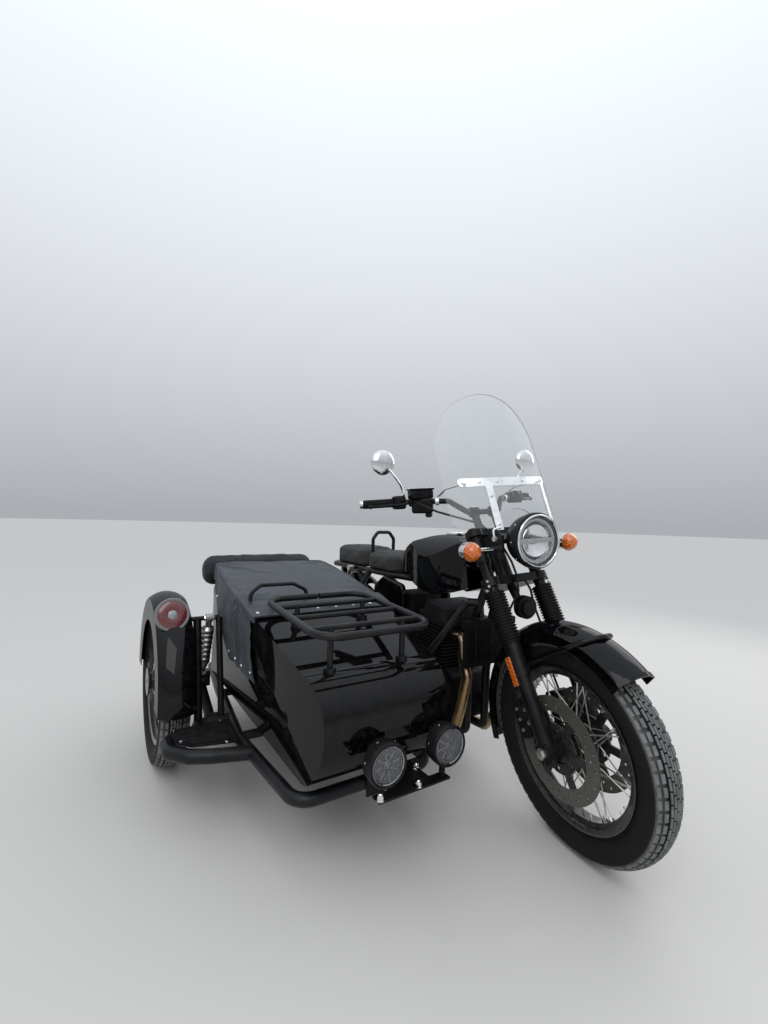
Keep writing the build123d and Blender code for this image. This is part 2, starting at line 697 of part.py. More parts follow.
def beside_fork(x_place, back, height):
    """A point by its X, its distance behind the legs' plane and its distance up them."""
    return (x_place, FRONT_AXLE_Y + height * math.sin(rake) + back * math.cos(rake),
            FRONT_TYRE_R + height * math.cos(rake) - back * math.sin(rake))


splitter_back = -24 - SEAT_GAP - 7
caliper_top = CALIPER_ALONG + 59 + SEAT_GAP
caliper_route = [
    beside_fork(16, splitter_back, LOWER_YOKE + 12), beside_fork(26, splitter_back, 490),
    beside_fork(56, 16, 440), beside_fork(88, 54, 370), beside_fork(88, 54, 250),
    beside_fork(88, CALIPER_BACK, 205), beside_fork(88, CALIPER_BACK, caliper_top),
]
master_x = -reservoir_spot.X
master_out = Vector(-bar_dir.Y, -bar_dir.X, 0).normalized()
master_end = Vector(master_x, reservoir_spot.Y, reservoir_spot.Z) + master_out * (19 + SEAT_GAP)
master_bend = master_end + master_out * 26
master_route = [
    (master_end.X, master_end.Y, master_end.Z), (master_bend.X, master_bend.Y, master_bend.Z - 3),
    (-200, 440, 1060), (-90, 320, 1010), (-40, 275, 940), beside_fork(-10, splitter_back, 600),
    beside_fork(-10, splitter_back, LOWER_YOKE + 20),
]
with BuildPart() as brake_hoses:
    with BuildSketch(leg_plane.offset(LOWER_YOKE + 4)):
        with Locations((0, splitter_back)):
            Rectangle(44, 14)
    extrude(amount=22)
    add(bent_bar(caliper_route, HOSE_R, HOSE_BEND))
    add(bent_bar(flipped(caliper_route), HOSE_R, HOSE_BEND))
    add(bent_bar(master_route, HOSE_R, HOSE_BEND))

steered_parts = [
    (front_fork, "front_fork"), (fork_gaiters, "fork_gaiters"), (front_calipers, "front_calipers"),
    (brake_hoses, "brake_hoses"),
    (front_mudguard, "front_mudguard"), (headlamp, "headlamp"), (headlamp_glass, "headlamp_glass"),
    (front_indicators, "front_indicators"), (handlebar, "handlebar"), (hand_controls, "hand_controls"),
    (mirrors, "mirrors"), (windshield, "windshield"), (windshield_bars, "windshield_bars"),
    (front_tyre, "front_tyre"), (front_wheel, "front_wheel"), (front_discs, "front_discs"),
]
for built, name in steered_parts:
    keep(built.part.rotate(steer_axis, -PARKED_STEER), name)
for built, name in [
    (rear_tyre, "rear_tyre"), (rear_wheel, "rear_wheel"), (rear_disc, "rear_disc"),
    (sidecar_tyre, "sidecar_tyre"), (sidecar_wheel, "sidecar_wheel"), (sidecar_disc, "sidecar_disc"),
]:
    keep(built.part, name)

# Frame of the bike
HEAD_TUBE_R = 30
head_foot = LOWER_YOKE + YOKE_THICK + 1
head_length = UPPER_YOKE - 1 - head_foot
RAIL_X = 95
CRADLE_X = 48
PLATE_X = 103
PLATE_THICK = 10
RAIL_Z = 748
down_route = [(38, 352, 800), (45, 412, 640), (CRADLE_X, 440, 420), (CRADLE_X, 445, 195)]
cradle = down_route + [(CRADLE_X, 800, 182), (104, 905, 196), (106, 958, 330), (RAIL_X, 930, 745)]
seat_rail = [(30, 775, 738), (RAIL_X, 880, RAIL_Z), (RAIL_X, 1500, RAIL_Z)]
rear_loop = [(RAIL_X, 1480, RAIL_Z), (60, 1545, RAIL_Z), (-60, 1545, RAIL_Z), (-RAIL_X, 1480, RAIL_Z)]
frame_bars = [bent_bar(side, FRAME_TUBE_R, 26) for side in (cradle, flipped(cradle))]
frame_bars += [bent_bar(side, FRAME_TUBE_R - 2, 26) for side in (seat_rail, flipped(seat_rail))]
GRAB_Y = 1149
STAY_R = 12
for side in (1, -1):
    frame_bars.append(straight_bar((side * RAIL_X, 1235, 737), (side * 103, 985, 458), STAY_R))
frame_bars += [
    bent_bar(rear_loop, FRAME_TUBE_R - 2, 24),
    bent_bar([(0, 352, 845), (0, 520, 838), (0, 800, 742)], BACKBONE_R, 80),
    straight_bar((-RAIL_X, 930, 745), (RAIL_X, 930, 745), FRAME_TUBE_R - 2),
    straight_bar((-RAIL_X, GRAB_Y, RAIL_Z), (RAIL_X, GRAB_Y, RAIL_Z), FRAME_TUBE_R - 4),
    straight_bar((-PLATE_X, 965, PIVOT_Z + 70), (PLATE_X, 965, PIVOT_Z + 70), FRAME_TUBE_R - 2),
]


def along(start, end, reach):
    """The point a given distance from the start towards the end."""
    way = (Vector(*end) - Vector(*start)).normalized()
    spot = Vector(*start) + way * reach
    return (spot.X, spot.Y, spot.Z)


def tube_y(height):
    """The Y of the down tubes' centre line at a height."""
    for (_, high_y, high_z), (_, low_y, low_z) in zip(down_route, down_route[1:]):
        if low_z <= height <= high_z:
            return low_y + (high_y - low_y) * (height - low_z) / (high_z - low_z)
    return down_route[-1][1]


# Each tie to the sidecar runs from the bike's point to the sidecar's point.
# Its lugs belong to the two frames.
LUG_R = 17
LUG_REACH = 34
BIKE_LUG = 30
ties = [
    ((-CRADLE_X, 560, 191), (-322, 560, PERIMETER_Z)),
    ((-CRADLE_X, 790, 182), (-315, 790, PERIMETER_Z)),
    ((-76, 426, 700), (-322, 640, PERIMETER_Z)),
    ((-RAIL_X, 1120, RAIL_Z), (-352, 1230, PERIMETER_Z)),
]
TIE_R = 13
bike_lugs = [straight_bar(start, along(start, end, BIKE_LUG), LUG_R) for start, end in ties]
bike_lugs.append(straight_bar((-42, tube_y(700), 700), ties[2][0], LUG_R - 1))
sidecar_lugs = [straight_bar(end, along(end, start, LUG_REACH), LUG_R) for start, end in ties]
tie_bars = []
for start, end in ties:
    tie_bars.append(straight_bar(along(start, end, BIKE_LUG), along(end, start, LUG_REACH), TIE_R))

TUNNEL_HALF = 46
RADIATOR_BACK = 396
SHOCK_X = 145
SHOCK_EYE_HALF = 13
SHOCK_HEAD_Y = 1235
SHOCK_HEAD_Z = RAIL_Z + 3
PEG_REACH = SHOCK_X - SHOCK_EYE_HALF - SEAT_GAP
PANEL_X = 120
with BuildPart() as bike_frame:
    add(frame_bars)
    add(bike_lugs)
    with BuildSketch(leg_plane.offset(head_foot)):
        with Locations((0, FORK_OFFSET)):
            Circle(HEAD_TUBE_R)
    extrude(amount=head_length)
    with BuildSketch(leg_plane.offset(head_foot - 5)):
        with Locations((0, FORK_OFFSET)):
            Circle(STEM_R + 1)
    extrude(amount=head_length + 10, mode=Mode.SUBTRACT)
    for side in (1, -1):
        with Locations((side * (PLATE_X + PLATE_THICK / 2), PIVOT_Y, PIVOT_Z - 20)):
            Box(PLATE_THICK, 90, 160)
        with Locations((side * CRADLE_X, 458, 300)):
            Box(22, 34, 40)
        with Locations((side * (RAIL_X + PEG_REACH) / 2, SHOCK_HEAD_Y, SHOCK_HEAD_Z)):
            Cylinder(9, PEG_REACH - RAIL_X, rotation=(0, 90, 0))
        with Locations((side * (RAIL_X + PANEL_X) / 2, 934, 700)):
            Cylinder(7, PANEL_X - RAIL_X, rotation=(0, 90, 0))
        with Locations((side * 46, (tube_y(580) + RADIATOR_BACK + SEAT_GAP) / 2, 580)):
            Box(16, tube_y(580) - RADIATOR_BACK - SEAT_GAP, 24)
    with Locations((0, 500, 838)):
        Cylinder(11, 2 * (TUNNEL_HALF - SEAT_GAP), rotation=(0, 90, 0))
keep(bike_frame.part, "bike_frame")

# Swingarm with its pivot and the rear axle
ARM_X = 112
SHOCK_FOOT_Y = REAR_AXLE_Y - 80
SHOCK_FOOT_Z = 344
arm_bars = []
for side in (1, -1):
    arm_bars.append(straight_bar((side * 78, PIVOT_Y + 40, PIVOT_Z - 4),
                                 (side * ARM_X, REAR_AXLE_Y + 10, REAR_TYRE_R), 19))
with BuildPart() as swingarm:
    add(arm_bars)
    with Locations((0, PIVOT_Y, PIVOT_Z)):
        Cylinder(22, 2 * 80, rotation=(0, 90, 0))
        Cylinder(10, 2 * 87.8, rotation=(0, 90, 0))
    with Locations((78, PIVOT_Y + 20, PIVOT_Z - 2), (-78, PIVOT_Y + 20, PIVOT_Z - 2)):
        Box(16, 50, 36)
    with Locations(rear_axle):
        Cylinder(AXLE_R, 2 * ARM_X + 60, rotation=(0, 90, 0))
    for side in (1, -1):
        with Locations((side * (ARM_X + PEG_REACH) / 2, SHOCK_FOOT_Y, SHOCK_FOOT_Z)):
            Cylinder(9, PEG_REACH - ARM_X, rotation=(0, 90, 0))
keep(swingarm.part, "swingarm")


def damper(foot, head, coils=11, coil_r=30):
    """A shock absorber: eyes, damper body and a spring drawn as its ribbed outline."""
    way = (head - foot).normalized()
    length = (head - foot).length
    plane = Plane(origin=foot, x_dir=(1, 0, 0), z_dir=way)
    spring_foot = 70
    spring_length = length - 130
    with BuildPart() as unit:
        with BuildSketch(Plane(origin=foot, x_dir=(1, 0, 0), z_dir=plane.y_dir * -1)):
            with BuildLine():
                pitch = spring_length / coils
                outline = [(0, 8), (12, 8), (12, 26), (18, 38), (18, spring_foot - 12), (coil_r, spring_foot - 12)]
                outline += [(coil_r, spring_foot)]
                for coil in range(coils):
                    low = spring_foot + coil * pitch
                    outline += [(coil_r - 8, low + pitch * 0.1), (coil_r, low + pitch * 0.35)]
                    outline += [(coil_r, low + pitch * 0.65), (coil_r - 8, low + pitch * 0.9)]
                top = spring_foot + spring_length
                outline += [(coil_r, top), (coil_r, top + 12), (12, top + 22), (12, length - 8)]
                outline += [(0, length - 8)]
                Polyline(*outline, close=True)
            make_face()
        revolve(axis=Axis(foot, way))
        with Locations(foot, head):
            Cylinder(15, 2 * SHOCK_EYE_HALF, rotation=(0, 90, 0))
    return unit.part


shock_foot = Vector(SHOCK_X, SHOCK_FOOT_Y, SHOCK_FOOT_Z)
shock_head = Vector(SHOCK_X, SHOCK_HEAD_Y, SHOCK_HEAD_Z)
left_damper = damper(shock_foot, shock_head)
with BuildPart() as rear_shocks:
    add(left_damper)
    mirror(about=Plane.YZ)
keep(rear_shocks.part, "rear_shocks")

# Engine: crankcase, two inclined cylinders with fins, head and round side covers
BLOCK_Y = 615
THROTTLE_BACK_Y = 765
BLOCK_Z = 400
BLOCK_LEAN = 8
lean = math.radians(BLOCK_LEAN)
block_plane = Plane(origin=(0, BLOCK_Y, BLOCK_Z), x_dir=(1, 0, 0),
                    z_dir=(0, -math.sin(lean), math.cos(lean)))
FIN_COUNT = 11
FIN_PITCH = 14
PORT_X = 78
PORT_Y = 492
with BuildPart() as engine:
    with BuildSketch(Plane.YZ):
        with BuildLine():
            FilletPolyline((475, 215), (475, 400), (560, 440), (720, 440), (900, 455), (925, 330),
                           (880, 215), (475, 215), radius=28)
        make_face()
    extrude(amount=95, both=True)
    with BuildSketch(block_plane):
        RectangleRounded(220, 150, 20)
    extrude(amount=FIN_COUNT * FIN_PITCH + 60)
    for fin in range(FIN_COUNT):
        with BuildSketch(block_plane.offset(46 + fin * FIN_PITCH)):
            RectangleRounded(256, 184, 26)
        extrude(amount=5)
    head_foot_z = 46 + FIN_COUNT * FIN_PITCH
    with BuildSketch(block_plane.offset(head_foot_z)):
        RectangleRounded(250, 178, 24)
    extrude(amount=24)
    with BuildSketch(block_plane.offset(head_foot_z + 24)):
        RectangleRounded(240, 150, 30)
    extrude(amount=44, taper=10)
    with Locations((-102, 580, 322)):
        Cylinder(98, 56, rotation=(0, 90, 0))
    with Locations((-100, 790, 350)):
        Cylinder(72, 44, rotation=(0, 90, 0))
    with Locations((102, 580, 322)):
        Cylinder(92, 50, rotation=(0, 90, 0))
    with Locations((100, 800, 350)):
        Cylinder(66, 38, rotation=(0, 90, 0))
    with Locations((0, 720, 560)):
        Box(150, 90, 60)
    with Locations((-PORT_X, PORT_Y + 16, 560), (PORT_X, PORT_Y + 16, 560)):
        Cylinder(25, 32, rotation=(90, 0, 0))
keep(engine.part, "engine")

HEADER_R = 20
header = [(PORT_X, PORT_Y, 560), (PORT_X, 448, 560), (88, 430, 490), (92, 400, 425), (98, 425, 300),
          (104, 440, 235), (118, 510, 156),
          (132, 640, 146), (150, 880, 152), (158, 1000, 205), (160, 1060, 220)]
header_bar = bent_bar(header, HEADER_R, 22)
with BuildPart() as left_exhaust:
    add(header_bar)
    with BuildSketch(Plane(origin=(160, 1050, 218), x_dir=(1, 0, 0), z_dir=(0, 0, 1))):
        with BuildLine():
            Polyline((0, 0), (20, 0), (30, 60), (46, 150), (50, 300), (48, 480), (34, 640), (30, 650),
                     (0, 650), close=True)
        make_face()
    revolve(axis=Axis((160, 1050, 218), (0, 1, 0)))
with BuildPart() as exhaust:
    add(left_exhaust.part)
    mirror(about=Plane.YZ)
keep(exhaust.part, "exhaust")

# Airbox behind the throttle bodies
with BuildPart() as airbox:
    with BuildSketch(Plane.XY.offset(480)):
        with Locations((0, (THROTTLE_BACK_Y + SEAT_GAP + 895) / 2)):
            Rectangle(168, 895 - THROTTLE_BACK_Y - SEAT_GAP)
    extrude(amount=200)
    fillet(airbox.edges().filter_by(Axis.Z), 14)
    fillet(airbox.edges().group_by(Axis.Z)[-1], 10)
keep(airbox.part, "airbox")

# Radiator ahead of the down tubes
RADIATOR_HALF = 130
with BuildPart() as radiator:
    with Locations((0, RADIATOR_BACK - 12, 554)):
        Box(2 * RADIATOR_HALF - 16, 24, 130)
    with Locations((0, RADIATOR_BACK - 14, 626), (0, RADIATOR_BACK - 14, 482)):
        Box(2 * RADIATOR_HALF, 28, 24)
    with Locations((-70, RADIATOR_BACK - 14, 643)):
        Cylinder(13, 12)
keep(radiator.part, "radiator")

# Fuel tank: side profile, plan and front view meet in one rounded body
with BuildPart() as fuel_tank:
    with BuildSketch(Plane.YZ):
        with BuildLine():
            Polyline((452, 745), (440, 850))
            ThreePointArc((440, 850), (452, 915), (505, 945))
            ThreePointArc((505, 945), (600, TANK_TOP), (700, 930))
            ThreePointArc((700, 930), (800, 880), (856, 800))
            Polyline((856, 800), (790, 775), (700, 738), (560, 712), (452, 745))
        make_face()
    extrude(amount=TANK_HALF + 20, both=True)
    with BuildSketch(Plane.XY.offset(690)):
        with BuildLine():
            ThreePointArc((78, 436), (TANK_HALF, 580), (104, 760))
            ThreePointArc((104, 760), (80, 850), (60, 870))
            Line((60, 870), (-60, 870))
            ThreePointArc((-60, 870), (-80, 850), (-104, 760))
            ThreePointArc((-104, 760), (-TANK_HALF, 580), (-78, 436))
            Line((-78, 436), (78, 436))
        make_face()
    extrude(amount=300, mode=Mode.INTERSECT)
    with BuildSketch(Plane.XZ.offset(-400)):
        with BuildLine():
            Polyline((-TANK_HALF - 12, 690), (-TANK_HALF - 12, 790))
            ThreePointArc((-TANK_HALF - 12, 790), (0, TANK_TOP + 6), (TANK_HALF + 12, 790))
            Polyline((TANK_HALF + 12, 790), (TANK_HALF + 12, 690), (-TANK_HALF - 12, 690))
        make_face()
    extrude(amount=-500, mode=Mode.INTERSECT)
    with BuildSketch(Plane.XZ.offset(-400)):
        with Locations((0, 785)):
            SlotOverall(220, 2 * TUNNEL_HALF, rotation=90)
    extrude(amount=-500, mode=Mode.SUBTRACT)
    with Locations((0, 585, TANK_TOP)):
        Cylinder(36, 14)
keep(fuel_tank.part, "fuel_tank")

# Saddles, grab handle, side panels and rear end


def saddle(y_from, y_to, half, top, thick):
    """A plain closed block for a padded saddle, rounded round its top."""
    with BuildPart() as pad:
        with BuildSketch(Plane.XY.offset(top - thick)):
            with Locations((0, (y_from + y_to) / 2)):
                RectangleRounded(2 * half, y_to - y_from, 50)
        extrude(amount=thick)
        fillet(pad.edges().group_by(Axis.Z)[-1], 18)
    return pad.part


SEAT_FOOT = RAIL_Z + FRAME_TUBE_R - 2 + SEAT_GAP
keep(saddle(872, 1130, 125, SEAT_TOP, SEAT_TOP - SEAT_FOOT), "rider_seat")
keep(saddle(1168, 1490, 108, SEAT_TOP + 10, SEAT_TOP + 10 - SEAT_FOOT), "pillion_seat")

grab_foot = RAIL_Z + FRAME_TUBE_R - 4 + SEAT_GAP
grab_points = [(62, GRAB_Y, grab_foot), (64, GRAB_Y, 905), (36, GRAB_Y, 940), (-36, GRAB_Y, 940),
               (-64, GRAB_Y, 905), (-62, GRAB_Y, grab_foot)]
keep(bent_bar(grab_points, 9, 24), "grab_handle")

with BuildPart() as left_panel:
    with BuildSketch(Plane.YZ.offset(PANEL_X)):
        with BuildLine():
            FilletPolyline((760, 560), (770, 720), (930, 745), (1010, 690), (990, 600), (900, 540),
                           (760, 560), radius=30)
        make_face()
    extrude(amount=22)
    fillet(left_panel.faces().sort_by(Axis.X)[-1].edges(), 10)
with BuildPart() as side_panels:
    add(left_panel.part)
    mirror(about=Plane.YZ)
keep(side_panels.part, "side_panels")

REAR_GUARD_R = 384
REAR_GUARD_HALF = 78
rail_under = RAIL_Z - FRAME_TUBE_R + 2 - SEAT_GAP
rear_shell = guard_shell(REAR_GUARD_R, REAR_GUARD_HALF, 60, 60, 135)
with BuildPart() as rear_mudguard:
    with Locations(rear_axle):
        add(rear_shell)
    with BuildSketch(Plane.XY.offset(rail_under)):
        with Locations((0, 1545)):
            Rectangle(60, 24)
    extrude(amount=-(rail_under - 696))
keep(rear_mudguard.part, "rear_mudguard")

with BuildPart() as tail_lamps:
    with Locations((0, 1750, 600)):
        Box(60, 110, 44)
    with Locations((0, 1812, 600)):
        Cylinder(42, 30, rotation=(90, 0, 0))
    with Locations((0, 1765, 600)):
        Cylinder(7, 300, rotation=(0, 90, 0))
        with Locations((160, 0, 0), (-160, 0, 0)):
            Cylinder(30, 56, rotation=(90, 0, 0))
    with Locations(rear_axle):
        Cylinder(REAR_GUARD_R + SEAT_GAP, 90, rotation=(0, 90, 0), mode=Mode.SUBTRACT)
keep(tail_lamps.part, "tail_lamps")

PEG_Y = 925
peg = straight_bar((PLATE_X + PLATE_THICK, PEG_Y, 330), (PLATE_X + 130, PEG_Y, 330), 14)
with BuildPart() as footpegs:
    add(peg)
    mirror(about=Plane.YZ)
keep(footpegs.part, "footpegs")

# Sidecar chassis
ARM_PIVOT_Y = 930
ARM_PIVOT_Z = PERIMETER_Z
ARM_IN_X = -893
INNER_POST_X = -857
POST_X = -940
SHOCK_TOP = (ARM_IN_X, 1020, 600)
STEP_R = 23
right_rail = [(-805, FRONT_RAIL_Y), (-838, 740), (-790, 1250), (-745, REAR_RAIL_Y)]
rail_points = [(x, y, PERIMETER_Z) for x, y in reversed(right_rail)]
rail_points += [(2 * BODY_X - x, y, PERIMETER_Z) for x, y in right_rail]


def rail_x(height_y):
    """The X of the right rail's centre line at a Y."""
    for (front_x, front_y), (back_x, back_y) in zip(right_rail, right_rail[1:]):
        if front_y <= height_y <= back_y:
            return front_x + (back_x - front_x) * (height_y - front_y) / (back_y - front_y)
    return right_rail[-1][0]


step_loop = [
    (rail_x(625), 625, 228), (-951, 650, 236), (-1015, 682, 236), (-1064, 740, 236), (-1066, 806, 236),
    (-1030, 838, 236), (-952, 838, 236), (POST_X - 2, 918, ARM_PIVOT_Z),
]
chassis_bars = [
    bent_bar(rail_points, PERIMETER_R, 60),
    bent_bar(step_loop, STEP_R, 26),
    straight_bar((rail_x(ARM_PIVOT_Y), ARM_PIVOT_Y, PERIMETER_Z), (POST_X - 14, ARM_PIVOT_Y, ARM_PIVOT_Z), 20),
    straight_bar((POST_X, ARM_PIVOT_Y, ARM_PIVOT_Z), (-938, SHOCK_TOP[1], SHOCK_TOP[2]), 15),
    straight_bar((INNER_POST_X, ARM_PIVOT_Y, PERIMETER_Z + 4), (INNER_POST_X, SHOCK_TOP[1], SHOCK_TOP[2]), 12),
]
for cross_y in (760, 1200, REAR_RAIL_Y - 20):
    left_x = 2 * BODY_X - rail_x(cross_y)
    chassis_bars.append(straight_bar((rail_x(cross_y), cross_y, PERIMETER_Z), (left_x, cross_y, PERIMETER_Z), 16))
SIDE_GUARD_HALF = 64
guard_inner_x = SIDECAR_WHEEL_X + SIDE_GUARD_HALF
eye_edge = SHOCK_EYE_HALF + SEAT_GAP
with BuildPart() as sidecar_frame:
    add(chassis_bars)
    add(sidecar_lugs)
    with Locations(((guard_inner_x + SEAT_GAP + ARM_IN_X - eye_edge) / 2, SHOCK_TOP[1], SHOCK_TOP[2])):
        Cylinder(9, ARM_IN_X - eye_edge - guard_inner_x - SEAT_GAP, rotation=(0, 90, 0))
    with Locations(((INNER_POST_X + ARM_IN_X + eye_edge) / 2, SHOCK_TOP[1], SHOCK_TOP[2])):
        Cylinder(9, INNER_POST_X - ARM_IN_X - eye_edge, rotation=(0, 90, 0))
    with Locations((BODY_X - 120, 760, PERIMETER_Z + 19), (BODY_X + 120, 760, PERIMETER_Z + 19),
                   (BODY_X - 120, 1200, PERIMETER_Z + 19), (BODY_X + 120, 1200, PERIMETER_Z + 19)):
        Cylinder(22, 8)
keep(sidecar_frame.part, "sidecar_frame")

with BuildPart() as sidecar_struts:
    add(tie_bars)
keep(sidecar_struts.part, "sidecar_struts")

# Sidecar body: a side profile, a plan and a front view meet, and an inset copy hollows it


def body_form(inset):
    """The closed outer form of the sidecar body, pulled in all round by the inset."""
    with BuildPart() as form:
        with BuildSketch(Plane.YZ.offset(BODY_X)):
            with BuildLine():
                ThreePointArc((345, BODY_FLOOR_Z), (238, 316), (NOSE_Y, 420))
                Line((NOSE_Y, 420), (NOSE_Y + 3, 470))
                ThreePointArc((NOSE_Y + 3, 470), (226, 536), (300, 575))
                ThreePointArc((300, 575), (490, 634), (COWL_Y, COWL_Z))
                Line((COWL_Y, COWL_Z), (SEAT_BACK_Y, SEAT_BACK_Z))
                ThreePointArc((SEAT_BACK_Y, SEAT_BACK_Z), (1240, 784), (1250, 760))
                Line((1250, 760), (1262, DECK_Z))
                Line((1262, DECK_Z), (TAIL_Y - 70, DECK_Z))
                ThreePointArc((TAIL_Y - 70, DECK_Z), (TAIL_Y, 470), (TAIL_Y - 90, 320))
                ThreePointArc((TAIL_Y - 90, 320), (1570, 264), (1460, BODY_FLOOR_Z))
                Line((1460, BODY_FLOOR_Z), (345, BODY_FLOOR_Z))
            make_face()
            if inset:
                offset(amount=-inset, kind=Kind.ARC)
        extrude(amount=BODY_HALF + 60, both=True)
        with BuildSketch(Plane.XY.offset(100)):
            with BuildLine():
                nose_right = (BODY_X - NOSE_HALF, NOSE_Y - 20)
                wide_right = (BODY_X - BODY_HALF, 920)
                tail_right = (BODY_X - TAIL_HALF, TAIL_Y + 30)
                nose_left = (BODY_X + NOSE_HALF, NOSE_Y - 20)
                wide_left = (BODY_X + BODY_HALF, 920)
                tail_left = (BODY_X + TAIL_HALF, TAIL_Y + 30)
                ThreePointArc(nose_right, (BODY_X - BODY_HALF + 16, 560), wide_right)
                ThreePointArc(wide_right, (BODY_X - BODY_HALF + 42, 1340), tail_right)
                Line(tail_right, tail_left)
                ThreePointArc(tail_left, (BODY_X + BODY_HALF - 42, 1340), wide_left)
                ThreePointArc(wide_left, (BODY_X + BODY_HALF - 16, 560), nose_left)
                Line(nose_left, nose_right)
            make_face()
            if inset:
                offset(amount=-inset, kind=Kind.ARC)
        extrude(amount=900, mode=Mode.INTERSECT)
        with BuildSketch(Plane.XZ):
            with BuildLine():
                low = BODY_HALF - 74
                Line((BODY_X - low, 180), (BODY_X - low, 240))
                ThreePointArc((BODY_X - low, 240), (BODY_X - BODY_HALF + 22, 500),
                              (BODY_X - BODY_HALF - 4, 900))
                Line((BODY_X - BODY_HALF - 4, 900), (BODY_X + BODY_HALF + 4, 900))
                ThreePointArc((BODY_X + BODY_HALF + 4, 900), (BODY_X + BODY_HALF - 22, 500),
                              (BODY_X + low, 240))
                Line((BODY_X + low, 240), (BODY_X + low, 180))
                Line((BODY_X + low, 180), (BODY_X - low, 180))
            make_face()
            if inset:
                offset(amount=-inset, kind=Kind.ARC)
        extrude(amount=-2000, mode=Mode.INTERSECT)
    return form.part


LID_FRONT_Y = 1430
LID_REAR_Y = 1645
LID_HALF = 120
LID_THICK = 8
HINGE_R = 5
BULKHEAD_Y = 1226
outer_form = body_form(0)
inner_form = body_form(BODY_WALL)
with BuildPart() as bulkhead:
    add(outer_form)
    with Locations((BODY_X, BULKHEAD_Y + BODY_WALL / 2, 500)):
        Box(700, BODY_WALL, 800, mode=Mode.INTERSECT)
with BuildPart() as sidecar_body:
    add(outer_form)
    add(inner_form, mode=Mode.SUBTRACT)
    with BuildSketch(Plane.YZ.offset(BODY_X)):
        with BuildLine():
            Polyline((COWL_Y + 24, 650), (COWL_Y + 24, 900), (SEAT_BACK_Y - 14, 900),
                     (SEAT_BACK_Y - 24, 740), (SEAT_BACK_Y - 60, 650), close=True)
        make_face()
    extrude(amount=BODY_HALF + 60, both=True, mode=Mode.SUBTRACT)
    with BuildSketch(Plane.YZ.offset(BODY_X)):
        with BuildLine():
            FilletPolyline((COWL_Y + 24, 680), (COWL_Y + 50, 500), (1050, 500), (SEAT_BACK_Y - 40, 680),
                           (COWL_Y + 24, 680), radius=30)
        make_face()
    extrude(amount=-BODY_HALF - 60, mode=Mode.SUBTRACT)
    with Locations((BODY_X, (LID_FRONT_Y + LID_REAR_Y) / 2, DECK_Z)):
        Box(2 * LID_HALF - 40, LID_REAR_Y - LID_FRONT_Y - 40, 60, mode=Mode.SUBTRACT)
    add(bulkhead.part)
    with Locations((BODY_X, LID_FRONT_Y, DECK_Z + SEAT_GAP + LID_THICK / 2)):
        Cylinder(HINGE_R + SEAT_GAP, 176, rotation=(0, 90, 0), mode=Mode.SUBTRACT)
keep(sidecar_body.part, "sidecar_body")

SIDECAR_SEAT_HALF = 180
with BuildPart() as sidecar_seat:
    with BuildSketch(Plane.YZ.offset(BODY_X)):
        with BuildLine():
            seat_foot = BODY_FLOOR_Z + BODY_WALL + SEAT_GAP
            seat_rear = BULKHEAD_Y - SEAT_GAP
            FilletPolyline((seat_rear, 700), (1160, 700), (1090, 430), (770, 440), (755, seat_foot),
                           (seat_rear, seat_foot), (seat_rear, 700), radius=18)
        make_face()
    extrude(amount=SIDECAR_SEAT_HALF, both=True)
keep(sidecar_seat.part, "sidecar_seat")

# Tonneau cover: a skin over the cockpit, from the seat back to the cowl and down both sides
COVER_THICK = 5
cover_outside = body_form(-COVER_THICK - SEAT_GAP)
cover_inside = body_form(-SEAT_GAP)
with BuildPart() as cover_reach:
    with BuildSketch(Plane.YZ.offset(BODY_X)):
        with BuildLine():
            Polyline((640, 900), (640, 445), (960, 445), (1130, 560), (1278, 700), (1278, 900), close=True)
        make_face()
    extrude(amount=-BODY_HALF - 60)
    with BuildSketch(Plane.YZ.offset(BODY_X)):
        with BuildLine():
            Polyline((640, 900), (640, 640), (1130, 640), (1278, 720), (1278, 900), close=True)
        make_face()
    extrude(amount=BODY_HALF + 60)
with BuildPart() as tonneau_cover:
    add(cover_outside)
    add(cover_inside, mode=Mode.SUBTRACT)
    add(cover_reach.part, mode=Mode.INTERSECT)
keep(tonneau_cover.part, "tonneau_cover")

PAD_THICK = 9
pad_outside = body_form(-COVER_THICK - 2 * SEAT_GAP - PAD_THICK)
pad_inside = body_form(-COVER_THICK - 2 * SEAT_GAP)
with BuildPart() as pad_reach:
    with BuildSketch(Plane.YZ.offset(BODY_X)):
        with BuildLine():
            Polyline((604, 900), (604, 655), (728, 678), (728, 900), close=True)
        make_face()
    extrude(amount=BODY_HALF + 60, both=True)
with BuildPart() as cowl_pad:
    add(pad_outside)
    add(pad_inside, mode=Mode.SUBTRACT)
    add(pad_reach.part, mode=Mode.INTERSECT)
keep(cowl_pad.part, "cowl_pad")

HOOP_Y = 716
hoop_foot = COWL_Z + (HOOP_Y - COWL_Y) * (SEAT_BACK_Z - COWL_Z) / (SEAT_BACK_Y - COWL_Y)
hoop_foot += (COVER_THICK + 2 * SEAT_GAP + PAD_THICK) * 1.02 + 1.6
hoop_points = [(-824, HOOP_Y, hoop_foot), (-824, HOOP_Y, 738), (-790, HOOP_Y, 764), (-668, HOOP_Y, 764),
               (-616, HOOP_Y, 738), (-616, HOOP_Y, hoop_foot)]
keep(bent_bar(hoop_points, 7, 24), "grab_hoop")

RACK_RIGHT = -790
RACK_LEFT = -412
RACK_FRONT_Y = 212
RACK_REAR_Y = 660
RACK_FRONT_Z = 692
RACK_REAR_Z = 722


def rack_z(place):
    """The height of the rack's tubes at a Y."""
    share = (place - RACK_FRONT_Y) / (RACK_REAR_Y - RACK_FRONT_Y)
    return RACK_FRONT_Z + share * (RACK_REAR_Z - RACK_FRONT_Z)


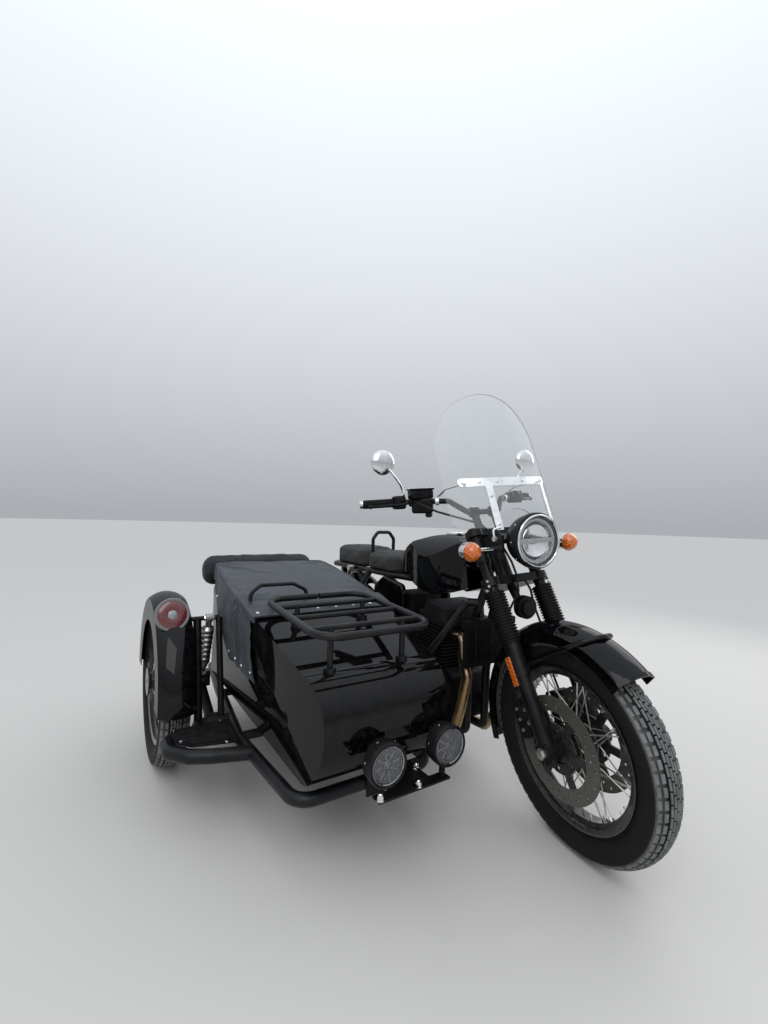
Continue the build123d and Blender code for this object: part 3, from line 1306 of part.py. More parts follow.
rack_loop = [
    (-600, RACK_REAR_Y, RACK_REAR_Z), (RACK_RIGHT, RACK_REAR_Y, RACK_REAR_Z),
    (RACK_RIGHT, RACK_FRONT_Y, RACK_FRONT_Z), (RACK_LEFT, RACK_FRONT_Y, RACK_FRONT_Z),
    (RACK_LEFT, RACK_REAR_Y, RACK_REAR_Z), (-590, RACK_REAR_Y, RACK_REAR_Z),
]
rack_bars = [bent_bar(rack_loop, RACK_R, 70)]
for slat_y in (295, 415, 545):
    slat_z = rack_z(slat_y)
    rack_bars.append(straight_bar((RACK_RIGHT, slat_y, slat_z), (RACK_LEFT, slat_y, slat_z), 8))
rack_feet = [(295, 566), (545, 644.5)]
FOOT_PAD = 3
with BuildPart() as luggage_rack:
    add(rack_bars)
    for leg_x in (RACK_RIGHT + 70, RACK_LEFT - 60):
        for leg_y, top_z in rack_feet:
            with Locations((leg_x, leg_y, (rack_z(leg_y) + top_z) / 2)):
                Cylinder(9, rack_z(leg_y) - top_z)
            with Locations((leg_x, leg_y, top_z + 10)):
                Cylinder(18, 20)
    add(cover_inside, mode=Mode.SUBTRACT)
keep(luggage_rack.part, "luggage_rack")

# Fog lamps on a plate ahead of the front cross tube
FOG_Z = 360
FOG_R = 57
FOG_FACE_Y = 137
FOG_HOUSING = 30
FOG_BACK_R = 42
FOG_BACK_Y = 186
FOG_SHELF_Z = 259
fog_xs = (-623, -412)
CLAMP_FACE_Y = FRONT_RAIL_Y - PERIMETER_R - SEAT_GAP
with BuildPart() as fog_lamps:
    for fog_x in fog_xs:
        with Locations((fog_x, FOG_FACE_Y + FOG_HOUSING / 2, FOG_Z)):
            Cylinder(FOG_R, FOG_HOUSING, rotation=(90, 0, 0))
        with Locations((fog_x, (FOG_FACE_Y + FOG_BACK_Y) / 2 + 8, FOG_Z)):
            Cylinder(FOG_BACK_R - 12, FOG_BACK_Y - FOG_FACE_Y - 16, rotation=(90, 0, 0))
        for fin in (-30, -18, -6, 6, 18, 30):
            with Locations((fog_x + fin, FOG_FACE_Y + FOG_HOUSING + 8, FOG_Z)):
                Box(4, 22, 2 * math.sqrt(FOG_R**2 - fin**2) - 10)
        with Locations((fog_x, FOG_FACE_Y + 22, (FOG_SHELF_Z + FOG_Z - FOG_R + 4) / 2)):
            Cylinder(9, FOG_Z - FOG_R + 4 - FOG_SHELF_Z)
    with Locations(((fog_xs[0] + fog_xs[1]) / 2, FOG_FACE_Y + 22, FOG_SHELF_Z)):
        Box(fog_xs[1] - fog_xs[0] + 34, 36, 6)
    with Locations((-517, (FOG_FACE_Y + 20 + CLAMP_FACE_Y) / 2, FOG_SHELF_Z)):
        Box(140, CLAMP_FACE_Y - FOG_FACE_Y - 20, 6)
    with BuildSketch(Plane.XZ.offset(-CLAMP_FACE_Y)):
        with Locations((-503, 228)):
            Rectangle(190, 68)
        with Locations((-503, 182)):
            Circle(52, mode=Mode.SUBTRACT)
    extrude(amount=6)
keep(fog_lamps.part, "fog_lamps")

PLATE_Z = 236 + STEP_R + SEAT_GAP
with BuildPart() as step_plate:
    with BuildSketch(Plane.XY.offset(PLATE_Z)):
        with BuildLine():
            FilletPolyline((-868, 652), (-1005, 688), (-1050, 742), (-1050, 838), (-862, 838), (-868, 652),
                           radius=16)
        make_face()
    extrude(amount=5)
keep(step_plate.part, "step_plate")

# Sidecar wheel's guard, lamp, arm and shock
SIDE_GUARD_R = 358
side_shell = guard_shell(SIDE_GUARD_R, SIDE_GUARD_HALF, 112, -5, 186)
with BuildPart() as sidecar_mudguard:
    with Locations(sidecar_axle):
        add(side_shell)
keep(sidecar_mudguard.part, "sidecar_mudguard")

LAMP_TILT = 12
MARKER_R = 60
MARKER_Y = 968
MARKER_Z = 634
tilt = math.radians(LAMP_TILT)
with BuildPart() as marker_lamp:
    with BuildSketch(Plane(origin=(SIDECAR_WHEEL_X - 12, MARKER_Y, MARKER_Z), x_dir=(1, 0, 0),
                           z_dir=(0, math.cos(tilt), -math.sin(tilt)))):
        Circle(MARKER_R)
    extrude(amount=24)
    with BuildSketch(Plane(origin=(SIDECAR_WHEEL_X - 12, MARKER_Y, MARKER_Z), x_dir=(1, 0, 0),
                           z_dir=(0, math.cos(tilt), -math.sin(tilt))).offset(20)):
        Circle(MARKER_R - 20)
    extrude(amount=60)
    with Locations(sidecar_axle):
        Cylinder(SIDE_GUARD_R + SEAT_GAP, 200, rotation=(0, 90, 0), mode=Mode.SUBTRACT)
keep(marker_lamp.part, "marker_lamp")

SIDE_FOOT = (ARM_IN_X, 1125, 352)
STUB_REACH = 60
with BuildPart() as wheel_arm:
    add(straight_bar((ARM_IN_X, ARM_PIVOT_Y + 26, ARM_PIVOT_Z + 10),
                     (ARM_IN_X, SIDECAR_WHEEL_Y, SIDECAR_TYRE_R), 18))
    with Locations(((ARM_IN_X + SIDECAR_WHEEL_X - STUB_REACH) / 2, SIDECAR_WHEEL_Y, SIDECAR_TYRE_R)):
        Cylinder(AXLE_R, ARM_IN_X - SIDECAR_WHEEL_X + STUB_REACH, rotation=(0, 90, 0))
    with Locations((ARM_IN_X, SIDECAR_WHEEL_Y, SIDECAR_TYRE_R)):
        Cylinder(30, 40, rotation=(0, 90, 0))
    with Locations((ARM_IN_X, ARM_PIVOT_Y, ARM_PIVOT_Z)):
        Cylinder(32, 44, rotation=(0, 90, 0))
    with Locations((ARM_IN_X - 22, SIDE_FOOT[1], SIDE_FOOT[2] - 20), (ARM_IN_X + 22, SIDE_FOOT[1],
                                                                     SIDE_FOOT[2] - 20)):
        Box(16, 40, 60)
    with Locations((ARM_IN_X, SIDE_FOOT[1], SIDE_FOOT[2] - 34)):
        Box(60, 40, 12)
    with Locations((ARM_IN_X, ARM_PIVOT_Y, ARM_PIVOT_Z)):
        Cylinder(20 + SEAT_GAP, 60, rotation=(0, 90, 0), mode=Mode.SUBTRACT)
keep(wheel_arm.part, "wheel_arm")

side_foot = Vector(*SIDE_FOOT)
side_head = Vector(*SHOCK_TOP)
keep(damper(side_foot, side_head, coils=6, coil_r=24), "sidecar_shock")

# Boot lid, hinged along its front edge
with BuildPart() as boot_lid:
    with BuildSketch(Plane.XY.offset(DECK_Z + SEAT_GAP)):
        with Locations((BODY_X, (LID_FRONT_Y + LID_REAR_Y) / 2)):
            RectangleRounded(2 * LID_HALF, LID_REAR_Y - LID_FRONT_Y, 30)
    extrude(amount=LID_THICK)
    with Locations((BODY_X, LID_REAR_Y - 14, DECK_Z + LID_THICK + 6)):
        Cylinder(12, 14)
    with Locations((BODY_X - 60, LID_FRONT_Y, DECK_Z + SEAT_GAP + LID_THICK / 2),
                   (BODY_X + 60, LID_FRONT_Y, DECK_Z + SEAT_GAP + LID_THICK / 2)):
        Cylinder(HINGE_R, 50, rotation=(0, 90, 0))
keep(boot_lid.part, "boot_lid")

# Folded soft top in its cover, behind the seat back
SOFT_TOP_R = 68
SOFT_TOP_X = -595
SOFT_TOP_HALF = 262
SOFT_TOP_Y = 1342
SOFT_TOP_Z = 754
with BuildPart() as soft_top:
    with BuildSketch(Plane.XY.offset(SOFT_TOP_Z)):
        with BuildLine():
            FilletPolyline(
                (SOFT_TOP_X - SOFT_TOP_HALF, SOFT_TOP_Y), (SOFT_TOP_X - SOFT_TOP_HALF, SOFT_TOP_Y + SOFT_TOP_R),
                (SOFT_TOP_X + SOFT_TOP_HALF, SOFT_TOP_Y + SOFT_TOP_R), (SOFT_TOP_X + SOFT_TOP_HALF, SOFT_TOP_Y),
                radius=44,
            )
            Line((SOFT_TOP_X + SOFT_TOP_HALF, SOFT_TOP_Y), (SOFT_TOP_X - SOFT_TOP_HALF, SOFT_TOP_Y))
        make_face()
    revolve(axis=Axis((SOFT_TOP_X, SOFT_TOP_Y, SOFT_TOP_Z), (1, 0, 0)))
    with Locations((BODY_X - 130, SOFT_TOP_Y, (DECK_Z + SEAT_GAP + SOFT_TOP_Z) / 2),
                   (BODY_X + 130, SOFT_TOP_Y, (DECK_Z + SEAT_GAP + SOFT_TOP_Z) / 2)):
        Box(30, 60, SOFT_TOP_Z - DECK_Z - SEAT_GAP)
keep(soft_top.part, "soft_top")

# The origin is on the ground under the middle of the whole rig's box.
boxes = [piece.bounding_box() for piece in pieces]
low = [min(tuple(box.min)[way] for box in boxes) for way in range(3)]
high = [max(tuple(box.max)[way] for box in boxes) for way in range(3)]
MIDDLE_X = (low[0] + high[0]) / 2
MIDDLE_Y = (low[1] + high[1]) / 2
GROUND_Z = low[2]

if __name__ == "__main__":
    os.makedirs("parts", exist_ok=True)
    for piece in pieces:
        placed = piece.moved(Location((-MIDDLE_X, -MIDDLE_Y, -GROUND_Z)))
        placed.label = piece.label
        export_step(placed, f"parts/{piece.label}.step")
    print("middle", round(MIDDLE_X, 3), round(MIDDLE_Y, 3), "ground", round(GROUND_Z, 3))
    print("size", [round(high[way] - low[way], 1) for way in range(3)])
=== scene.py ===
"""Sidecar motorcycle: the looks of a parallel-twin roadster and the sidecar on its rider's right.

Sizes are written in millimetres from the middle of the front contact patch line: X to the rider's
left, Y to the rear, Z up. ``Place`` turns them into the frame's metres.
"""
import logging
import math
from dataclasses import dataclass, field
from enum import Enum
from typing import Iterable, Iterator, Optional, Sequence, Union

import bmesh
import bpy
from bmesh.types import BMesh, BMVert
from mathutils import Matrix, Vector, noise
from mathutils.bvhtree import BVHTree


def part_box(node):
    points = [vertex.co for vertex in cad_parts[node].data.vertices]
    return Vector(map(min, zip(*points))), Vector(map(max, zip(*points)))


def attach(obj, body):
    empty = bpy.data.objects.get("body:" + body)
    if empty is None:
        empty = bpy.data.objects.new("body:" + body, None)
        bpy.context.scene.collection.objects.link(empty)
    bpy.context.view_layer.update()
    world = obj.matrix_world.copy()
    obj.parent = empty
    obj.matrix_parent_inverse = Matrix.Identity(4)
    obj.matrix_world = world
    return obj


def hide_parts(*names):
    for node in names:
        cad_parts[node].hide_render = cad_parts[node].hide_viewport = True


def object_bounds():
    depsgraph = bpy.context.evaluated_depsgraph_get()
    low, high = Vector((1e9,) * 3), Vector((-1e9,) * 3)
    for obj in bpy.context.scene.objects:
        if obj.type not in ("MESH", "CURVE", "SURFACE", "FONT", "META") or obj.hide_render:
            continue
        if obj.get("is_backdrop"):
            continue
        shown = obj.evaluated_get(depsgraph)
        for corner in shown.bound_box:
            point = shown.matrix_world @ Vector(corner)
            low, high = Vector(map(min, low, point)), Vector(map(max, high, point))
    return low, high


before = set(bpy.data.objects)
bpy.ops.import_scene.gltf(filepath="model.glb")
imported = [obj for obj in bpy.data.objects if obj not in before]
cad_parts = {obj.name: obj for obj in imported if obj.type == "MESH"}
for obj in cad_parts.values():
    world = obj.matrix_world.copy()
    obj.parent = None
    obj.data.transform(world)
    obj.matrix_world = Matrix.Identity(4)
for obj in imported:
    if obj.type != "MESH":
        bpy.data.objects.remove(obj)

CAD_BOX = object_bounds()
log = logging.getLogger("sidecar_motorcycle")

Point = tuple[float, float, float]
Flat = tuple[float, float]
Parts = Iterator[BMesh]
Number = Union[float, "Socket"]


class Body(Enum):
    """The bodies that pieces ride on."""

    CHASSIS = "chassis"
    STEERING = "steering"
    FRONT_WHEEL = "front_wheel_body"
    REAR_WHEEL = "rear_wheel_body"
    SIDECAR_WHEEL = "sidecar_wheel_body"
    BOOT_LID = "boot_lid_body"


# Where things are


@dataclass(frozen=True)
class Place:
    """Turns the machine's millimetres into the frame's metres."""

    rake: float = 28.1
    head: Point = (0.0, 336.0, 860.0)
    parked: float = -10.5
    rear_axle: Point = (0.0, 1445.0, 327.0)

    @property
    def middle(self) -> Vector:
        """The frame's origin, in the machine's millimetres."""
        low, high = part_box("rear_tyre")
        return Vector(self.rear_axle) - (low + high) * 500

    def frame_matrix(self) -> Matrix:
        """From the machine's millimetres to the frame's metres."""
        return Matrix.Scale(0.001, 4) @ Matrix.Translation(-self.middle)

    def steer_axis(self) -> Vector:
        """The steering axis, pointing up."""
        lean = math.radians(self.rake)
        return Vector((0.0, math.sin(lean), math.cos(lean)))

    def parked_turn(self) -> Matrix:
        """The turn of the steered parts, as the machine is parked."""
        turn = turned(self.parked, self.steer_axis())
        return Matrix.Translation(self.head) @ turn @ Matrix.Translation(-Vector(self.head))

    def matrix(self, steered: bool) -> Matrix:
        """From modelled millimetres to the frame; steered for what turns with the handlebar."""
        return self.frame_matrix() @ (self.parked_turn() if steered else Matrix.Identity(4))

    def point(self, spot: Point, steered: bool = False) -> Vector:
        """One point in the frame, in metres."""
        return self.matrix(steered) @ Vector(spot)

    def direction(self, way: Point, steered: bool = False) -> Vector:
        """A direction in the frame."""
        return (self.matrix(steered).to_3x3() @ Vector(way)).normalized()


PLACE = Place()


def stand(centre: Point, along: Point, up: Point = (0.0, 0.0, 1.0)) -> Matrix:
    """A matrix that puts local X along a direction at a centre.

    Args:
        centre: Where the local origin goes.
        along: The direction of local X.
        up: The direction that local Z keeps nearest to.

    Returns:
        The matrix, in millimetres.
    """
    x_way = Vector(along).normalized()
    y_way = Vector(up).cross(x_way)
    if y_way.length < 1e-4:
        y_way = Vector((0.0, 1.0, 0.0)).cross(x_way)
    y_way.normalize()
    z_way = x_way.cross(y_way)
    turn = Matrix((x_way, y_way, z_way)).transposed().to_4x4()
    return Matrix.Translation(centre) @ turn


def moved(x: float, y: float, z: float) -> Matrix:
    """A move."""
    return Matrix.Translation((x, y, z))


def turned(degrees: float, axis: Union[str, Vector]) -> Matrix:
    """A turn about an axis."""
    return Matrix.Rotation(math.radians(degrees), 4, axis)


def ramp(value: float, start: float, end: float) -> float:
    """How far a value is from a start to an end, from 0 to 1."""
    return max(0.0, min(1.0, (value - start) / (end - start)))


def bell(offset: float, width: float) -> float:
    """A bell curve: 1 at no offset, and falling off over a width."""
    return math.exp(-((offset / width) ** 2))


# Shader maths


class Socket:
    """A shader socket that takes part in Python expressions."""

    def __init__(self, shader: "Shader", socket: bpy.types.NodeSocket) -> None:
        """Wraps a socket of a shader's tree."""
        self.shader = shader
        self.socket = socket

    def _math(self, operation: str, *values: Number) -> "Socket":
        """Adds one Math node on the values."""
        return self.shader.node(
            "ShaderNodeMath", {"operation": operation}, dict(enumerate(values))
        )

    def __add__(self, other: Number) -> "Socket":
        """Sum."""
        return self._math("ADD", self, other)

    __radd__ = __add__

    def __mul__(self, other: Number) -> "Socket":
        """Product."""
        return self._math("MULTIPLY", self, other)

    __rmul__ = __mul__

    def __sub__(self, other: Number) -> "Socket":
        """Difference."""
        return self._math("SUBTRACT", self, other)

    def __rsub__(self, other: Number) -> "Socket":
        """Reflected difference."""
        return self._math("SUBTRACT", other, self)

    def __truediv__(self, other: Number) -> "Socket":
        """Quotient."""
        return self._math("DIVIDE", self, other)

    def __gt__(self, other: Number) -> "Socket":
        """1 where this is greater."""
        return self._math("GREATER_THAN", self, other)

    def __lt__(self, other: Number) -> "Socket":
        """1 where this is less."""
        return self._math("LESS_THAN", self, other)

    def power(self, exponent: float) -> "Socket":
        """This to a power."""
        return self._math("POWER", self, exponent)

    def wave(self) -> "Socket":
        """The sine of this."""
        return self._math("SINE", self)

    def size(self) -> "Socket":
        """This without its sign."""
        return self._math("ABSOLUTE", self)

    def band(self, low: float, high: float) -> "Socket":
        """1 between the limits and 0 elsewhere."""
        return (self > low) * (self < high)

    def spread(self, low: float, high: float, start: float, end: float) -> "Socket":
        """This, mapped from one range to another and kept inside it."""
        return self.shader.node(
            "ShaderNodeMapRange", {"clamp": True}, {0: self, 1: low, 2: high, 3: start, 4: end}
        )


class Shader:
    """The node tree of a material or of the sky, and the calls that fill it."""

    def __init__(self, owner: Union[bpy.types.Material, bpy.types.World]) -> None:
        """Takes the owner's tree and finds its last shader."""
        owner.use_nodes = True
        self.owner = owner
        self.tree = owner.node_tree
        self.ending = next(n for n in self.tree.nodes if n.type in ("BSDF_PRINCIPLED", "BACKGROUND"))

    def node(
        self,
        kind: str,
        settings: Optional[dict[str, object]] = None,
        sockets: Optional[dict[Union[int, str], object]] = None,
        output: Union[int, str] = 0,
    ) -> Socket:
        """Adds a node.

        Args:
            kind: The node's type.
            settings: Its own settings, set first.
            sockets: Values or links of its inputs, by number or name.
            output: Which output is returned.

        Returns:
            The output, ready for more maths.
        """
        node = self.tree.nodes.new(kind)
        for name, value in (settings or {}).items():
            setattr(node, name, value)
        for key, value in (sockets or {}).items():
            self.feed(node.inputs[key], value)
        return Socket(self, node.outputs[output])

    def feed(self, target: bpy.types.NodeSocket, value: object) -> None:
        """Links a socket to an input, or sets the input's own value.

        Args:
            target: The input.
            value: A socket, number or colour.
        """
        if isinstance(value, Socket):
            self.tree.links.new(value.socket, target)
        elif isinstance(value, tuple) and target.type == "RGBA" and len(value) == 3:
            target.default_value = (*value, 1.0)
        else:
            target.default_value = value

    def surface(self, **inputs: object) -> None:
        """Sets the last shader's inputs; underscores stand for spaces."""
        for name, value in inputs.items():
            self.feed(self.ending.inputs[name.replace("_", " ")], value)

    def here(self) -> Socket:
        """The point on the object."""
        return self.node("ShaderNodeTexCoord", output="Object")

    def noise(self, scale: float, detail: float = 3.0, stretch: Optional[Point] = None) -> Socket:
        """Noise from 0 to 1 on Object coordinates.

        Args:
            scale: Waves per metre.
            detail: Octaves of finer noise.
            stretch: Scale of each axis, where they differ.

        Returns:
            The noise's value.
        """
        spot = self.here()
        if stretch:
            spot = self.node("ShaderNodeMapping", {}, {"Vector": spot, "Scale": stretch})
        return self.node(
            "ShaderNodeTexNoise", {}, {"Vector": spot, "Scale": scale, "Detail": detail}
        )

    def cells(self, scale: float) -> Socket:
        """Distance inside a cell pattern, as leather has."""
        return self.node("ShaderNodeTexVoronoi", {}, {"Vector": self.here(), "Scale": scale})

    def mix(self, share: Number, first: object, second: object) -> Socket:
        """A colour between two colours."""
        return self.node(
            "ShaderNodeMix", {"data_type": "RGBA"}, {0: share, 6: first, 7: second}, output=2
        )

    def bump(self, height: Socket, depth: float, strength: float = 1.0) -> None:
        """Bumps the surface by a height of 0 to 1, of a depth in metres."""
        normal = self.node(
            "ShaderNodeBump", {}, {"Strength": strength, "Distance": depth, "Height": height}
        )
        self.surface(Normal=normal)

    def offset_from(self, centre: Vector) -> Socket:
        """The vector from a centre, in metres."""
        return self.node(
            "ShaderNodeVectorMath", {"operation": "SUBTRACT"}, {0: self.here(), 1: tuple(centre)}
        )

    def part(self, vector: Socket, letter: str) -> Socket:
        """One component of a vector."""
        return self.node("ShaderNodeSeparateXYZ", {}, {0: vector}, output=letter)

    def radius_round(self, centre: Vector, axis: Vector) -> Socket:
        """How far the point is from an axis, in metres.

        Args:
            centre: A point on the axis.
            axis: Its direction, of length one.

        Returns:
            The distance.
        """
        away = self.offset_from(centre)
        across = self.node(
            "ShaderNodeVectorMath", {"operation": "CROSS_PRODUCT"}, {0: away, 1: tuple(axis)}
        )
        return self.node("ShaderNodeVectorMath", {"operation": "LENGTH"}, {0: across}, output=1)

    def along(self, centre: Vector, axis: Vector) -> Socket:
        """How far the point is along an axis, in metres.

        Args:
            centre: Where it starts.
            axis: Its direction, of length one.

        Returns:
            The distance.
        """
        return self.node(
            "ShaderNodeVectorMath",
            {"operation": "DOT_PRODUCT"},
            {0: self.offset_from(centre), 1: tuple(axis)},
            output=1,
        )


# Finishes


@dataclass(frozen=True)
class Finish:
    """A finish with a name and the record's slot that it belongs to."""

    name: str
    slot: str

    def build(self, shader: Shader) -> None:
        """Fills the shader; each kind of finish has its own.

        Args:
            shader: The tree to fill.
        """
        raise NotImplementedError

    def material(self) -> bpy.types.Material:
        """The finish's material, made once.

        Returns:
            The material.
        """
        found = bpy.data.materials.get(self.name)
        if found:
            return found
        made = bpy.data.materials.new(self.name)
        self.build(Shader(made))
        return made


@dataclass(frozen=True)
class Lacquer(Finish):
    """Deep gloss paint under clear coat, with road dust low down."""

    colour: Point = (0.0016, 0.0018, 0.0024)
    dust: float = 0.05
    coat: float = 0.52

    def build(self, shader: Shader) -> None:
        """Paint with fine orange peel and a dust that thins with height."""
        height = shader.part(shader.here(), "Z")
        low = height.spread(0.15, 0.75, 1.0, 0.15)
        speck = shader.noise(46.0, 6.0).spread(0.42, 0.72, 0.0, 1.0)
        fine = shader.noise(420.0, 2.0)
        dusty = low * speck * self.dust
        shader.surface(
            Base_Color=shader.mix(dusty, self.colour, (0.23, 0.20, 0.16)),
            Roughness=dusty * 1.6 + 0.10 + fine * 0.03,
            Specular_IOR_Level=0.0,
            Coat_Weight=self.coat - dusty * 2.0,
            Coat_Roughness=0.03,
        )
        shader.bump(shader.noise(140.0, 1.0), 0.00006)


@dataclass(frozen=True)
class PowderCoat(Finish):
    """Satin powder coat, with a fine texture and dust in broad patches."""

    colour: Point = (0.007, 0.007, 0.008)
    rough: float = 0.42
    grain: float = 900.0
    depth: float = 0.00015
    shine: float = 0.16

    def build(self, shader: Shader) -> None:
        """Fine grain, with dust in broad patches."""
        grain = shader.noise(self.grain, 2.0)
        patch = shader.noise(14.0, 4.0)
        shader.surface(
            Base_Color=shader.mix(patch.spread(0.45, 0.8, 0.0, 0.07), self.colour, (0.16, 0.14, 0.11)),
            Roughness=patch * 0.16 + (self.rough - 0.06) + grain * 0.06,
            Specular_IOR_Level=self.shine,
        )
        shader.bump(grain, self.depth, 0.7)


@dataclass(frozen=True)
class Metal(Finish):
    """Bare, plated or machined metal."""

    colour: Point = (0.55, 0.55, 0.56)
    rough: float = 0.28
    streak: float = 0.0
    worn: float = 0.06

    def build(self, shader: Shader) -> None:
        """Metal with fine scratches and smears."""
        smear = shader.noise(30.0, 5.0)
        scratch = shader.noise(300.0, 2.0, (1.0, 1.0, 0.05)) if self.streak else shader.noise(500.0, 2.0)
        shade = tuple(c * 0.72 for c in self.colour)
        shader.surface(
            Base_Color=shader.mix(smear.spread(0.4, 0.75, 0.0, 0.7), self.colour, shade),
            Metallic=1.0,
            Roughness=smear * self.worn + self.rough + scratch * (0.05 + self.streak),
        )
        if self.streak:
            shader.bump(scratch, 0.00008, 0.6)


@dataclass(frozen=True)
class HeatTint(Finish):
    """Header pipe, tinted bronze by heat and bluer where it was hottest."""

    colour: Point = (0.36, 0.24, 0.12)

    def build(self, shader: Shader) -> None:
        """Bronze that turns to straw and blue along its length."""
        place = shader.part(shader.here(), "Z")
        smear = shader.noise(24.0, 5.0)
        hot = place.spread(0.35, 0.56, 0.0, 1.0) * smear.spread(0.35, 0.65, 0.4, 1.0)
        back = shader.part(shader.here(), "Y").spread(0.10, 0.32, 0.0, 1.0)
        warm = shader.mix(hot * 0.6, self.colour, (0.16, 0.13, 0.17))
        shader.surface(
            Base_Color=shader.mix(back, warm, (0.02, 0.02, 0.022)),
            Metallic=1.0 - back * 0.7,
            Roughness=smear * 0.18 + 0.20,
        )


@dataclass(frozen=True)
class Rubber(Finish):
    """Moulded rubber with a dry, dusty bloom."""

    colour: Point = (0.018, 0.018, 0.019)
    rough: float = 0.62
    dust: float = 0.25

    def build(self, shader: Shader) -> None:
        """Fine bloom and a faint mould grain."""
        bloom = shader.noise(38.0, 6.0).spread(0.40, 0.75, 0.0, 1.0)
        grain = shader.noise(1400.0, 1.0)
        shader.surface(
            Base_Color=shader.mix(bloom * self.dust, self.colour, (0.10, 0.092, 0.08)),
            Roughness=bloom * 0.15 + self.rough,
            Specular_IOR_Level=0.14,
        )
        shader.bump(grain, 0.0001, 0.5)


@dataclass(frozen=True)
class TreadRubber(Finish):
    """Tyre rubber: clean dark sidewalls, and tread tops painted greyer for road dust and as a painted
    highlight.
    """

    centre: Point = (0.0, 0.0, 0.327)
    axis: Point = (1.0, 0.0, 0.0)
    road: float = 0.321
    curve: float = 7.9

    def build(self, shader: Shader) -> None:
        """Grey on the tread's top for dust and as a painted highlight; near black in the grooves and on the
        walls.
        """
        radius = shader.radius_round(Vector(self.centre), Vector(self.axis))
        side = shader.along(Vector(self.centre), Vector(self.axis)).size()
        crown = self.road - (side * side) * self.curve
        # The tread tops' grey is partly road dust and partly a painted highlight.
        top = (radius - crown).spread(0.0015, 0.0050, 0.0, 1.0)
        bloom = shader.noise(34.0, 6.0).spread(0.35, 0.75, 0.55, 1.0)
        ring = (radius * 2400.0).wave().spread(0.55, 1.0, 0.0, 1.0) * radius.band(0.296, 0.309)
        walls = shader.mix(bloom * 0.06, (0.006, 0.006, 0.006), (0.13, 0.12, 0.10))
        shader.surface(
            Base_Color=shader.mix(top * bloom, walls, (0.215, 0.222, 0.222)),
            Roughness=top * 0.16 + 0.56 + bloom * 0.08,
            Specular_IOR_Level=0.13,
        )
        shader.bump(shader.noise(900.0, 2.0) + ring * 2.0, 0.0002, 0.7)


@dataclass(frozen=True)
class Upholstery(Finish):
    """Vinyl or leather: a pebbled grain, softly glossy on the crowns."""

    colour: Point = (0.014, 0.014, 0.015)
    rough: float = 0.44
    grain: float = 420.0
    crease: float = 0.35

    def build(self, shader: Shader) -> None:
        """Cell grain with broad, faint creases."""
        cell = shader.cells(self.grain)
        broad = shader.noise(9.0, 5.0)
        light = tuple(min(1.0, c * 1.5 + 0.004) for c in self.colour)
        shader.surface(
            Base_Color=shader.mix(broad.spread(0.35, 0.7, 0.0, 1.0), self.colour, light),
            Roughness=cell * 0.18 + self.rough - broad * 0.10,
            Specular_IOR_Level=0.35,
        )
        shader.bump(cell * 0.5 + broad * self.crease, 0.0006, 0.55)


@dataclass(frozen=True)
class CoverCloth(Finish):
    """Coated cover cloth: a fine weave, sun-faded patches and dust."""

    colour: Point = (0.05, 0.053, 0.056)
    faded: Point = (0.105, 0.11, 0.115)
    rough: float = 0.62
    weave: float = 2600.0
    fitted: bool = True

    def build(self, shader: Shader) -> None:
        """A woven grain from two crossed waves, on the sheet's UV where it has one."""
        spot = shader.node("ShaderNodeUVMap", {"uv_map": "cloth"}) if self.fitted else shader.here()
        first = (shader.part(spot, "X") * self.weave).wave()
        second = (shader.part(spot, "Y") * self.weave).wave()
        weave = first * second
        patch = shader.noise(7.0, 6.0).spread(0.32, 0.70, 0.0, 1.0)
        dust = shader.noise(60.0, 5.0).spread(0.5, 0.8, 0.0, 0.18)
        cloth = shader.mix(patch, self.colour, self.faded)
        shader.surface(
            Base_Color=shader.mix(dust, cloth, (0.16, 0.155, 0.14)),
            Roughness=patch * 0.10 + self.rough,
            Specular_IOR_Level=0.35,
            Sheen_Weight=0.05,
            Sheen_Roughness=0.5,
        )
        shader.bump(weave * 0.4 + shader.noise(28.0, 4.0) * 1.5, 0.0006, 0.6)


@dataclass(frozen=True)
class ClearSheet(Finish):
    """Clear acrylic or glass, with faint scuffs."""

    tint: Point = (0.60, 0.65, 0.65)
    film: float = 0.05

    def build(self, shader: Shader) -> None:
        """Transmission with a thin haze of scuffs."""
        scuff = shader.noise(55.0, 7.0).spread(0.55, 0.8, 0.0, 1.0)
        shader.surface(
            Base_Color=self.tint,
            Roughness=scuff * 0.05 + 0.01,
            IOR=1.15,
            Alpha=scuff * 0.05 + self.film,
            Transmission_Weight=0.0,
            Coat_Weight=0.6,
            Coat_Roughness=0.02,
        )
        shader.owner.surface_render_method = "DITHERED"


@dataclass(frozen=True)
class Lens(Finish):
    """Coloured lamp plastic with moulded prisms."""

    colour: Point = (0.9, 0.30, 0.02)
    prism: float = 520.0

    def build(self, shader: Shader) -> None:
        """Bright plastic with ribs and a deep coat."""
        spot = shader.here()
        ribs = (shader.part(spot, "Z") * self.prism).wave() * (shader.part(spot, "X") * self.prism).wave()
        deep = tuple(c * 0.5 for c in self.colour)
        shader.surface(
            Base_Color=shader.mix(ribs.spread(-0.6, 0.8, 0.0, 1.0), deep, self.colour),
            Roughness=ribs * 0.05 + 0.14,
            Coat_Weight=1.0,
            Coat_Roughness=0.03,
            Subsurface_Weight=0.15,
            Subsurface_Radius=(0.004, 0.002, 0.001),
        )
        shader.bump(ribs, 0.0004, 0.5)


